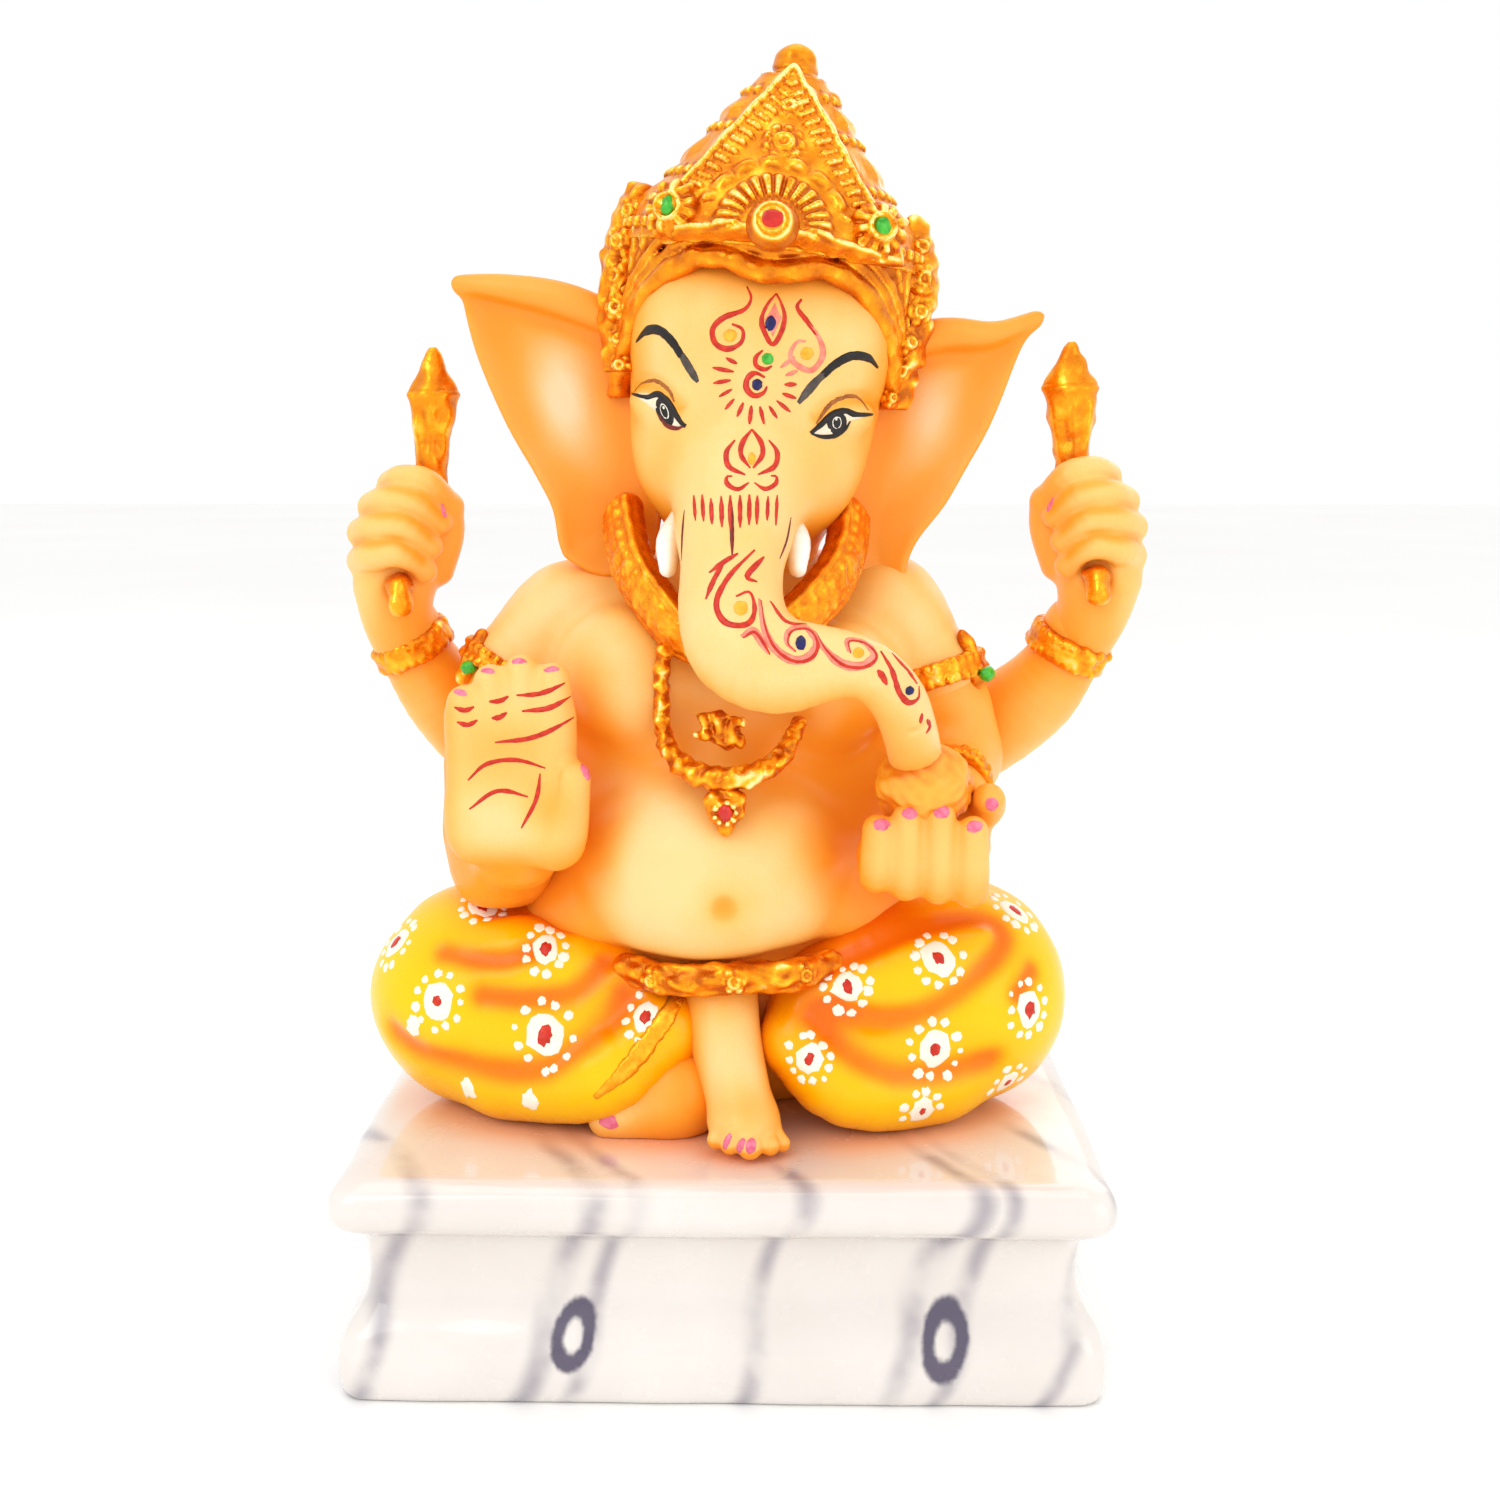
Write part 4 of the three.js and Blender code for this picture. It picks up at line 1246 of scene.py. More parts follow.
def rosette(centre, normal, radius, height, petals, cup=0.35):
    """A domed flower: petals round a raised ring with a seat in the middle for a stone."""
    axis = np.array(normal, float) / np.linalg.norm(normal)
    side = np.cross(axis, (0, 0, 1.0))
    side /= max(np.linalg.norm(side), 1e-6)
    over = np.cross(side, axis)
    basis = np.stack([side, over, axis]).astype(np.float32)
    middle = np.array(centre, np.float32)

    def field(p):
        q = (p - middle) @ basis.T
        r = np.hypot(q[:, 0], q[:, 1])
        angle = np.arctan2(q[:, 1], q[:, 0])
        lobe = np.abs(np.cos(angle * petals / 2))
        reach = radius * (0.84 + 0.16 * lobe)
        dome = np.sqrt((r / reach) ** 2 + (q[:, 2] / height) ** 2)
        d = (dome - 1) * min(radius, height)
        ring = 0.5 * np.exp(-(((r - radius * cup) / (radius * 0.13)) ** 2))
        leaf = 0.4 * lobe * np.exp(-(((r - radius * 0.72) / (radius * 0.2)) ** 2))
        return d - (ring + leaf) * (q[:, 2] > 0)

    return field


def beads(line, radius, gap):
    """Round beads along a line of points."""
    points = np.array(line, float)
    steps = np.linalg.norm(np.diff(points, axis=0), axis=1)
    run = np.concatenate([[0], np.cumsum(steps)])
    count = max(2, int(run[-1] / (2 * radius + gap)) + 1)
    places = np.linspace(0, run[-1], count)
    spots = np.stack([np.interp(places, run, points[:, k]) for k in range(3)], axis=1).astype(np.float32)

    def field(p):
        best = np.full(len(p), 1e6, np.float32)
        for s in spots:
            best = np.minimum(best, norm(p - s) - radius)
        return best

    return field


DOME = [  # height above the brow and radius of the crown
    (21.0, 22.8), (23.5, 22.6), (26, 21.2), (29, 18.8), (32, 16.2), (36.5, 12.8), (41, 9.4),
    (45.4, 6.2), (47, 5.0),
]
DOME_TOP = 47.2
DOME_FOOT = 20.6


def dome_relief(angle, z, r):
    """Bead rows, upright ribs and scale-like petals over the crown."""
    high = np.zeros(len(z), np.float32)
    for row, beads_round, size in ((23.0, 56, 0.95), (31.4, 44, 0.8), (38.6, 30, 0.75), (44.4, 20, 0.7)):
        turn = (angle * beads_round / (2 * math.pi)) % 1 - 0.5
        across = turn * 2 * math.pi * r / beads_round
        high += np.sqrt(np.maximum(size**2 - across**2 - (z - row) ** 2, 0))
    for low, top, count in ((24.6, 30.0, 22), (32.8, 37.4, 16), (39.8, 43.4, 12)):
        share = np.clip((z - low) / (top - low), 0, 1)
        middle = np.sin(math.pi * share)
        lobe = np.abs(np.cos(angle * count / 2))
        rib = np.exp(-(((np.sin(angle * count / 2)) * r / count * 2.2 / 0.55) ** 2))
        high += middle * (0.7 * np.clip(lobe * 1.3 - 0.3 - 0.4 * share, 0, 1) + 0.25 * rib)
    return high


def crown_dome_form():
    heights = np.array([z for z, _ in DOME])
    widths = np.array([w for _, w in DOME])

    def dome(p):
        q = to_head(p)
        x, y, z = q[:, 0], (q[:, 1] - 1) * 1.06, q[:, 2]
        r = np.hypot(x, y)
        wide = np.interp(z, heights, widths)
        d = (r - wide) * 0.78
        d = np.maximum(d, z - DOME_TOP)
        d = np.maximum(d, DOME_FOOT - z)
        return d - 0.8 * dome_relief(np.arctan2(y, x), z, np.maximum(r, 1))

    gold_form("crown_dome_relief", dome, "crown_dome", 0.4, 3.0)


def crown_finial_form():
    bud = on_head(
        blend(
            0.8,
            ball((0, 1, 46.4), (4.6, 4.6, 1.5)),
            ball((0, 1, 48.4), (3.5, 3.5, 1.5)),
            ball((0, 1, 49.6), (3.1, 3.1, 2.5)),
            ball((5.6, 0, 44.0), (1.9, 1.9, 1.8)),
        )
    )
    gold_form("crown_finial_bud", rippled(bud, 4, 0.2, 31), "crown_finial", 0.3, 3.0)


RIM = [  # angle round from the front, and height in the head's frame, of the rim's middle
    (0, 17.4), (7, 17.9), (18, 19.1), (30, 18.7), (45, 16.0), (60, 11.4), (74, 5.2), (86, -0.8), (97, -3.6),
    (112, -1.6), (135, 2.0), (180, 4.0),
]


def rim_curve(radius, lift):
    """Points round the brow at a radius, lifted above the rim's middle, in the idol's frame."""
    angles = np.array([a for a, _ in RIM])
    heights = np.array([z for _, z in RIM])
    turns = np.linspace(-180, 180, 121)
    up = np.interp(np.abs(turns), angles, heights)
    up = np.convolve(np.pad(up, 2, "edge"), [0.1, 0.2, 0.4, 0.2, 0.1], "valid") + lift
    ring = zip(np.radians(turns), up)
    return np.array([from_head((radius * math.sin(a), 1 - radius * math.cos(a) / 1.08, z)) for a, z in ring])


def tube(points, radius):
    return along(np.hstack([points, np.full((len(points), 1), radius)]))


def crown_band_form():
    """The band round the brow: a rolled rim, two thinner rims above it and a row of upright bars."""
    angles = np.array([a for a, _ in RIM])
    heights = np.array([z for _, z in RIM])
    roll = tube(rim_curve(20.8, 0), 1.75)
    second = tube(rim_curve(21.5, 2.7), 0.95)
    third = tube(rim_curve(22.0, 4.7), 0.8)

    def shell(p):
        q = to_head(p)
        x, y, z = q[:, 0], (q[:, 1] - 1) * 1.08, q[:, 2]
        r = np.hypot(x, y)
        turn = np.degrees(np.arctan2(np.abs(x), -y))
        lift = z - np.interp(turn, angles, heights)
        wide = 20.7 + 1.5 * np.clip((lift - 4.6) / 3, 0, 1)
        bars = np.clip(np.cos(np.arctan2(y, x) * 44) * 1.4, 0, 1) * 0.6 * np.clip(lift - 5.6, 0, 1)
        d = np.maximum((r - wide) - bars, (17.6 - r))
        d = np.maximum(d, -lift * 0.5)
        return np.maximum(d, z - 22.4)

    band = rippled(blend(0.6, blend(1.0, shell, roll), second, third), 3.2, 0.16, 35)
    gold_form("crown_band_rim", band, "crown_band", 0.38, 4.5)


CREST_SIDE = [(3.2, 44.2), (7.2, 38.4), (11.0, 33.0), (14.6, 28.6), (18.2, 25.0), (19.2, 21.6), (12, 19.4)]
CREST = [(0, 48.4)] + [(-u, v) for u, v in CREST_SIDE] + [(0, 18.4)] + CREST_SIDE[::-1]
CREST_LEAN = -31.0


def rays(u, v, count, inner, outer, phase=0.0):
    """Raised rays between two radii."""
    r = np.hypot(u, v)
    beam = np.abs(np.cos(np.arctan2(v, u) * count / 2 + phase))
    return beam * np.clip((r - inner) / 0.8, 0, 1) * np.clip((outer - r) / 0.8, 0, 1)


def crest_relief(u, v, d):
    """Sunburst over the front stone, two flowers above it, and slanting ribs inside the border."""
    border = 0.8 * np.exp(-(((d + 0.8) / 0.5) ** 2))
    middle = v - 20.0
    high = 0.8 * rays(u, middle, 28, 4.4, 8.8)
    high = np.maximum(high, 0.75 * rays(u, middle, 18, 9.6, 12.0, 0.4) * (v > 24))
    for centre, size in ((34.2, 3.3), (40.6, 2.3)):
        r = np.hypot(u, v - centre)
        high = np.maximum(high, 0.7 * np.exp(-(((r - size * 0.35) / (size * 0.2)) ** 2)))
        high = np.maximum(high, 0.65 * rays(u, v - centre, 9, size * 0.55, size))
    run = v * 0.81 - np.abs(u) * 0.59
    ribs = np.clip(np.cos(run * 2 * math.pi / 1.7) * 1.3, 0, 1)
    ribs = ribs * np.clip((-d - 1.4) / 0.4, 0, 1) * np.clip((4.6 + d) / 0.6, 0, 1)
    high = np.maximum(high, 0.65 * ribs * np.clip((np.hypot(u, middle) - 12.2) / 0.6, 0, 1))
    return border + high


def crown_crest_form():
    """The pointed front plate."""
    edge = smooth(CREST, 5, closed=True)
    spin = turned((CREST_LEAN, 0, 0))
    foot = np.array((0, -32.4, 5.6), np.float32)

    def plate(p):
        q = (to_head(p) - foot) @ spin
        u, w, v = q[:, 0], q[:, 1] - 0.022 * q[:, 0] ** 2, q[:, 2]
        d = outline_distance(u, v, edge)
        front = np.clip(-w / 1.0, 0, 1)
        flat = np.abs(w) - 1.4 - crest_relief(u, v, d) * front
        return -soft_min(-d, -flat, 0.7)

    leafy = rippled(plate, 3.0, 0.2, 36)
    gold_form("crown_crest_plate", leafy, "crown_crest", 0.32, 5.0)


CROWN_FLOWERS = {"right": np.array((-6.9, -20.6, 172.9)), "left": np.array((22.2, -20.2, 170.0))}


def crown_side_forms(side):
    """A scrolled column that hangs from the crown to the ear, and a flower above it."""
    name = side_name(side)
    stem = ((20.6, 27), (22.4, 21), (22.6, 12), (21.4, 4), (20.6, -2))
    stem = [from_head((side * x, -2.0, z)) for x, z in stem]
    parts = [tube(smooth(stem, 4), 2.4)]
    knots = [(22.6, 24.6, 2.4), (23.6, 20.0, 2.7), (23.6, 15.2, 2.5)]
    knots += [(22.9, 10.6, 2.3), (21.9, 6.2, 2.0), (21.2, 2.2, 1.8)]
    for i, (x, z, size) in enumerate(knots):
        centre = from_head((side * (x - 1.4), -3.6 - 0.5 * (i % 2), z))
        parts.append(rosette(centre, (side * 0.5, -0.9, 0.1), size, 1.7, 5 + i % 2))
        parts.append(ball(from_head((side * (x + 0.4), -2.0, z - 2.2)), (1.5, 1.5, 1.4)))
    boss = rippled(blend(1.3, *parts), 2.6, 0.25, 32 + side)
    gold_form(f"crown_side_{name}_scrolls", boss, f"crown_side_boss_{name}", 0.36, 7.0)
    out = (side * 0.3, -0.93, 0.2)
    centre = CROWN_FLOWERS[name]
    flower = blend(0.5, rosette(centre, out, 4.3, 2.2, 11, 0.42), rosette(centre, out, 2.4, 2.6, 0, 0.8))
    flower = rippled(flower, 2.0, 0.18, 34)
    gold_form(f"crown_rosette_{name}_flower", flower, f"crown_rosette_{name}", 0.3, 3.5)


def stone(name, node, material, slot, normal, radius, height, centre=None):
    """A domed oval stone on the seat of its setting."""
    axis = Vector(normal).normalized()
    if centre is None:
        centre = node_centre(node)
    spin = [math.degrees(a) for a in axis.to_track_quat("Z", "Y").to_euler()]
    dome = ball(centre, (radius[0], radius[1], height), spin)
    form(name, rippled(dome, 1.6, 0.08, 41), [node], material, slot, 0.2, 1.2)


def crown_stones():
    forward = (0, -0.97, 0.24)
    middle = np.array((7.3, -26.8, 170.2))
    outer = rosette(middle, forward, 3.7, 1.9, 0, 0.62)
    setting = blend(0.6, outer, rosette(middle, forward, 2.2, 2.3, 0, 0.85))
    gold_form("crown_setting_ring", setting, "crown_gem_setting", 0.28, 3.5)
    seat = middle + np.array(forward) * 1.9
    stone("crown_stone_front", "crown_gem_front", RED_STONE, "red_gem", forward, (1.7, 1.7), 1.0, seat)
    for side, name in ((-1, "right"), (1, "left")):
        out = np.array((side * 0.3, -0.93, 0.2))
        seat = CROWN_FLOWERS[name] + out * 2.1
        names = (f"crown_stone_{name}", f"crown_gem_{name}")
        stone(*names, GREEN_STONE, "green_gem", out, (1.2, 1.6), 0.9, seat)


def collar_form():
    line = smooth(
        [(-15.6, -5.5, 129.5), (-15.0, -8.5, 126), (-13.4, -12, 121.5), (-9.6, -16.5, 116.5)]
        + [(-5.6, -19.5, 112.8), (1.5, -21, 110.8), (8.2, -19.5, 113), (13.4, -16.2, 117)]
        + [(16.8, -12, 121), (18.4, -8, 125), (19, -5, 129)],
        4,
    )
    heart = np.array((1.5, 2.0, 124.0))
    out = line - heart
    out /= np.linalg.norm(out, axis=1)[:, None]
    lengthwise = np.gradient(line, axis=0)
    lengthwise /= np.linalg.norm(lengthwise, axis=1)[:, None]
    across = np.cross(lengthwise, out)
    across /= np.linalg.norm(across, axis=1)[:, None]
    if across[len(across) // 2, 2] > 0:
        across = -across
    broad = [tube(line + across * s, 2.2) for s in (-1.6, 0, 1.6)]
    rails = [tube(line + across * s + out * 1.2, 0.8) for s in (-3.3, 3.3)]
    rows = ((-1.8, 0.8), (0, 1.0), (1.8, 0.8))
    studs = [beads(line + across * s + out * 1.9, size, 0.3) for s, size in rows]
    collar = rippled(blend(0.35, blend(2.0, *broad), *rails, *studs), 2.2, 0.07, 51)
    gold_form("collar_beaded_band", collar, "collar_necklace", 0.3, 3.5)


def chain_form():
    """A strand of leafy drops that widens to a thick garland below the breast."""
    stops = [(-8.3, -17.2, 112.5, 1.1), (-9.1, -18.2, 107, 1.2), (-9.2, -18.4, 101.4, 1.2)]
    stops += [(-8.6, -19.6, 96.5, 1.3), (-6.3, -21.6, 93.4, 1.5), (-3.3, -23.2, 92, 1.7)]
    stops += [(0.6, -24.2, 91.5, 1.8), (4.8, -23.6, 92.3, 1.7), (8.1, -22.2, 93.9, 1.5)]
    stops += [(9.9, -20.8, 96.3, 1.3), (11.2, -19.4, 99, 1.2)]
    rows = smooth(stops, 4)
    line = rows[:, :3]
    drops = []
    for i, (x, y, z) in enumerate(line[::2]):
        turn = 35 if i % 2 else -35
        size = 1.15 + 0.45 * np.clip((97 - z) / 5, 0, 1)
        drops.append(ball((x, y - 0.9, z), (size * 1.25, size * 0.8, size * 0.8), (0, turn, 0)))
    chain = blend(0.5, along(rows), *drops, beads(line + (0, -0.9, 0), 0.8, 0.9))
    gold_form("chain_beads", rippled(chain, 1.8, 0.16, 53), "long_necklace", 0.28, 3.5)


def breast_ornaments():
    centre = np.array((-0.2, -20.9, 98.4))
    leaves = [ball(centre, (3.0, 1.9, 2.2), (0, 24, 0))]
    petals = [(-2.2, 1.4, 40), (2.4, -1.2, 60), (-0.4, 2.0, 0), (0.6, -1.8, 15)]
    petals += [(2.0, 0.9, -30), (-2.2, -0.6, 0)]
    for dx, dz, turn in petals:
        leaves.append(ball(centre + (dx, -0.9, dz), (1.7, 1.2, 1.0), (0, turn, 0)))
    gold_form("brooch_leaves", rippled(blend(0.5, *leaves), 1.8, 0.22, 52), "brooch", 0.26, 2.5)
    middle = np.array((0.5, -24.6, 86.8))
    shield = blend(
        0.9,
        ball(middle + (0, 0, 0.4), (2.9, 1.5, 2.8)),
        ball(middle + (-1.6, 0, 1.8), (1.5, 1.3, 1.4)),
        ball(middle + (1.6, 0, 1.8), (1.5, 1.3, 1.4)),
        ball(middle + (0, 0, -2.2), (1.2, 1.0, 1.6)),
        ball(middle + (-0.2, 0.2, 3.8), (0.8, 0.8, 1.0)),
    )
    angles = np.linspace(0, 2 * math.pi, 19)
    seat = [middle + (1.55 * math.cos(a), -1.5, 1.55 * math.sin(a)) for a in angles]
    shield = blend(0.4, shield, beads(seat, 0.45, 0.1))
    gold_form("pendant_shield", rippled(shield, 1.6, 0.12, 54), "pendant", 0.24, 3.0)
    front = middle + (0, -1.3, 0)
    stone("pendant_stone", "pendant_gem", RED_STONE, "red_gem", (0, -1, -0.1), (1.2, 1.4), 0.9, front)


def bangle(name, node, axis, radius, thickness, wide, cluster, seed, leaf_side=0, lift=0.0):
    """A bangle with beaded edges: a cluster of beads on its front, or an upright leaf on its side."""
    centre = node_centre(node) + (0, 0, lift)
    way = np.array(axis, float) / np.linalg.norm(axis)
    side = np.cross(way, (0, 1.0, 0))
    side /= np.linalg.norm(side)
    over = np.cross(way, side)
    angles = np.linspace(0, 2 * math.pi, 33)
    ring = centre + radius * (np.outer(np.cos(angles), side) + np.outer(np.sin(angles), over))
    parts = [blend(0.8, *[tube(ring + way * s, thickness) for s in (-wide, 0, wide)])]
    for s in (-wide, wide):
        parts.append(beads(ring + way * s * 1.25 + (ring - centre) * 0.1, 0.7, 0.15))
    for angle, shift, size in cluster:
        out = math.cos(angle) * side + math.sin(angle) * over
        parts.append(ball(centre + (radius + thickness * 0.7) * out + way * shift, (size, size, size)))
    if leaf_side:
        root = centre + (leaf_side * radius * 0.86, -radius * 0.5, 0)
        parts.append(ball(root + (-leaf_side * 1.0, 0.2, 3.6), (1.5, 1.2, 4.2), (0, -leaf_side * 24, 0)))
        parts.append(ball(root, (1.9, 1.7, 1.9)))
    form(name, rippled(blend(0.5, *parts), 2.4, 0.12, seed), [node], GOLD, "gold", 0.3, 5.0)


def arm_ornaments():
    front = math.pi / 2 * 3
    spots = ((-0.3, -1.0), (0, -1.4), (0.3, -1.0), (-0.2, 0.9), (0.2, 0.9))
    cluster = [(front + a, shift, 1.2) for a, shift in spots]
    bangle("bangle_back_right", "bracelet_back_right", (-0.42, -0.2, 0.88), 5.5, 1.1, 1.1, cluster, 61)
    bangle("bangle_back_left", "bracelet_back_left", (0.42, -0.2, 0.88), 5.6, 1.1, 1.2, cluster, 62)
    bangle("bangle_front_left", "bracelet_front_left", (-0.12, -0.96, -0.25), 5.0, 0.8, 0.7, [], 63)
    bangle("armlet_band_right", "armlet_right", (-0.5, -0.1, -0.85), 8.2, 0.8, 0.8, [], 64, -1, -1.8)
    bangle("armlet_band_left", "armlet_left", (0.3, -0.1, -0.95), 7.2, 1.0, 1.0, [], 65, 1)
    seat = node_centre("armlet_gem_right") + (1.0, -0.6, -1.6)
    gem = (GREEN_STONE, "green_gem")
    stone("armlet_stone_right", "armlet_gem_right", *gem, (-0.7, -0.7, 0), (1.5, 1.1), 1.2, seat)
    stone("armlet_stone_left", "armlet_gem_left", *gem, (0.9, -0.5, 0), (1.6, 1.2), 1.2)


STAFF = {
    "right": {"stub": [(-50.4, -5.9, 115.4), (-50.9, -4.6, 118.0)], "top": -46.3, "lift": 0.0, "size": 1.0},
    "left": {"stub": [(57.5, -5.9, 117.2), (57.3, -4.6, 119.8)], "top": 53.8, "lift": 0.9, "size": 1.1},
}


def emblem_form(side):
    """A staff through the fist: a leaf-shaped head with ribs above, an oval knob below."""
    name = side_name(side)
    low, back = STAFF[name]["stub"]
    top, lift, size = STAFF[name]["top"], STAFF[name]["lift"], STAFF[name]["size"]
    neck = top + side * 0.6
    knob = limb([(*low, 1.9), (*back, 1.8)])
    ring = ball((back[0], back[1] + 0.8, back[2] + 0.2), (2.4, 1.4, 1.0), (0, 8, 0))
    shaft = limb([(back[0], -1, 119, 1.6), (back[0], 4, 124, 1.8), (neck, 4.6, 133 + lift, 2.2)])
    shaft = blend(0.8, shaft, limb([(neck, 4.6, 133 + lift, 2.2), (neck, 5, 138 + lift, 2.3)]))
    link = limb([(*back, 1.6), (back[0], -1, 119, 1.6)])

    def leaf(p):
        v = p[:, 2] - (136 + lift)
        u = p[:, 0] - (neck - side * 0.6 * np.clip(v / 12, 0, 1))
        w = p[:, 1] - 5
        stops = (-3, 0, 3, 7, 11, 12.6, 14, 16, 18, 18.8)
        wide = np.interp(v, stops, (2.2, 2.3, 2.6, 3.4, 3.8, 3.6, 2.8, 2.0, 1.1, 0.4)) * size
        d = (np.sqrt((u / wide) ** 2 + (w / (wide * 0.7)) ** 2) - 1) * wide * 0.62
        ribs = np.cos(u / wide * 8.0) * np.clip((10.6 - v) / 2, 0, 1) * (w < 0)
        collar = 0.3 * np.exp(-(((v - 11.6) / 0.6) ** 2))
        d = d - 0.16 * ribs - collar
        return np.maximum(d, np.maximum(v - 18.7, -3 - v))

    tool = rippled(blend(0.8, shaft, link, knob, ring, leaf), 3.0, 0.14, 71 + side)
    gold_form(f"staff_{name}_leaf", tool, f"emblem_{name}", 0.3, 4.0)


def waistband_form():
    line = [(-15, -15.6, 60.2), (-8, -19.8, 59.8), (1, -21.4, 60.4), (10, -19.6, 60.4), (16.4, -14.6, 60.6)]
    line = smooth(line, 6)
    parts = [tube(line, 2.3)]
    for dz in (-1.9, 1.9):
        parts.append(tube(line + (0, -0.7, dz), 0.6))
    knots = []
    for x, y, z in ((-10.4, -20.0, 59.8), (1.6, -22.6, 60.4), (12.0, -19.6, 60.6)):
        knots.append(rosette((x, y, z), (x * 0.04, -1, 0), 2.3, 1.3, 6))
    leaves = [(-6.4, -22.2, 59.4, 25), (-2.6, -23.0, 60.6, -20)]
    leaves += [(5.4, -22.6, 60.8, 20), (8.6, -21.6, 60, -25)]
    for x, y, z, turn in leaves:
        knots.append(ball((x, y, z), (2.3, 0.9, 0.9), (0, turn, 0)))
    sash = rippled(blend(0.6, *parts, *knots), 2.4, 0.18, 81)

    def paint(p, n, hollow):
        # Painted shade: the gold is darkened strongly in the sash's hollows.
        return hollow * 1.5 + 0.3

    gold_form("waistband_leafy", sash, "waistband", 0.33, 4.5, paint)


# ------------------------------------------------------------------ plinth

PROFILE = [  # inset of the side at each height
    (-0.2, 2.0), (0.0, 1.6), (0.8, 1.0), (2.2, 0.7), (5, 0.6), (8, 0.9), (10.2, 1.7), (12.2, 3.2),
    (14.4, 4.5), (17, 5.0), (20.5, 5.0), (23.5, 4.7), (25.2, 4.0), (25.8, 2.4), (26.6, 1.0),
    (28.2, 0.1), (30.4, 0.0), (32.2, 0.6), (33.4, 1.7), (34.0, 3.4),
]


def plinth_form():
    low, high = node_box("plinth")
    half = (high - low) / 2
    heights = np.array([z for z, _ in PROFILE])
    insets = np.array([i for _, i in PROFILE])
    fine = np.linspace(0, high[2], 120)
    kernel = np.exp(-(np.linspace(-1.5, 1.5, 9) ** 2))
    rough = np.pad(np.interp(fine, heights, insets), 4, "edge")
    rounded = np.convolve(rough, kernel / kernel.sum(), "valid")
    corner = 4.0

    def block(p):
        inset = np.interp(p[:, 2], fine, rounded).astype(np.float32)
        sag = 0.22 * ripple(p, 46, 91) + 0.08 * ripple(p, 14, 92)
        qx = np.abs(p[:, 0]) - (half[0] - inset - corner)
        qy = np.abs(p[:, 1]) - (half[1] - inset - corner)
        outer = np.hypot(np.maximum(qx, 0), np.maximum(qy, 0)) + np.minimum(np.maximum(qx, qy), 0) - corner
        d = (outer + sag) * 0.8
        top = p[:, 2] - high[2] - 0.06 * ripple(p, 30, 93)
        d = -soft_min(-d, -top, 1.2)
        return np.maximum(d, low[2] - p[:, 2])

    def paint(p, n, hollow):
        # Painted warm shade and reflected glow of the figure on the plinth's top: round the figure, and in a
        # band in front of it.
        near_figure = np.clip(hollow * 0.9 - 0.12, 0, 1) * (p[:, 2] > high[2] - 1.2)
        painted_glow = (n[:, 2] > 0.6) * np.exp(-(((p[:, 1] + 24) / 8) ** 2)) * 0.3
        painted_glow = painted_glow * np.exp(-(((p[:, 0] - 1) / 26) ** 2))
        return near_figure + painted_glow * (p[:, 2] > high[2] - 1.2)

    form("plinth_marble", block, ["plinth"], MARBLE, "marble", 0.8, 1.6, paint)


BLOTCHES = [(-21.7, 10.4, 3.1, 5.2, 16), (33.0, 10.0, 3.4, 6.0, 8)]  # x, z, half width, half height, lean


def add_blotches(obj):
    """Dark eye-shaped blotches on the plinth's foot, front and back, with a pale middle."""
    count = len(obj.data.vertices)
    co = np.empty(count * 3, np.float32)
    obj.data.vertices.foreach_get("co", co)
    p = co.reshape(-1, 3) / MM
    total = np.zeros(count)
    for x, z, wide, tall, lean in BLOTCHES:
        for face in (-1, 1):
            c, s = math.cos(math.radians(lean)), math.sin(math.radians(lean))
            dx, dz = (p[:, 0] - x * -face), p[:, 2] - z
            u, v = (dx * c - dz * s) / wide, (dx * s + dz * c) / tall
            r = np.hypot(u, v)
            ring = np.exp(-(((r - 0.72) / 0.36) ** 2))
            total += np.where(np.sign(p[:, 1]) == face, ring, 0)
    add_attribute(obj, "blotch", np.clip(total, 0, 1))


# ------------------------------------------------------------------ painted line work

LAYERS = {}  # paint name -> corner and face lists of every stroke laid in it
HAND = np.random.default_rng(97)  # the painter's unsteady hand
SECTION = ((-1, -0.06), (-0.62, 0.75), (0, 1), (0.62, 0.75), (1, -0.06), (0.8, -2.5), (-0.8, -2.5))


class Canvas:
    """The surface of some pieces, to paint on: all in millimetres."""

    def __init__(self, *names):
        corners, faces = [], []
        for name in names:
            mesh = BUILT[name].data
            points = np.empty(len(mesh.vertices) * 3)
            mesh.vertices.foreach_get("co", points)
            start = len(corners)
            corners += [tuple(p / MM) for p in points.reshape(-1, 3)]
            faces += [tuple(v + start for v in f.vertices) for f in mesh.polygons]
        self.tree = BVHTree.FromPolygons(corners, faces)

    def front(self, x, z, start=-70.0):
        """The point of the surface that faces the viewer at x, z."""
        place, normal, _, _ = self.tree.ray_cast(Vector((x, start, z)), Vector((0, 1, 0)))
        if place is None:
            place, normal, _, _ = self.tree.find_nearest(Vector((x, -20, z)))
        return np.array(place), np.array(normal)

    def near(self, point):
        place, normal, _, _ = self.tree.find_nearest(Vector(point))
        return np.array(place), np.array(normal)


def lay(layer, corners, faces):
    """Adds a closed little body of paint to a layer, facing outwards."""
    corners = np.array(corners)
    volume = 0.0
    for face in faces:
        for k in range(1, len(face) - 1):
            a, b, c = corners[face[0]], corners[face[k]], corners[face[k + 1]]
            volume += np.dot(a, np.cross(b, c))
    if volume < 0:
        faces = [f[::-1] for f in faces]
    points, shapes = LAYERS.setdefault(layer, ([], []))
    start = len(points)
    points += [tuple(c) for c in corners]
    shapes += [tuple(v + start for v in f) for f in faces]


def spaced(points, step):
    """The same line with evenly spaced points."""
    points = np.array(points, float)
    gaps = np.linalg.norm(np.diff(points, axis=0), axis=1)
    run = np.concatenate([[0], np.cumsum(gaps)])
    count = max(3, int(run[-1] / step) + 1)
    places = np.linspace(0, run[-1], count)
    return np.stack([np.interp(places, run, points[:, k]) for k in range(points.shape[1])], axis=1)


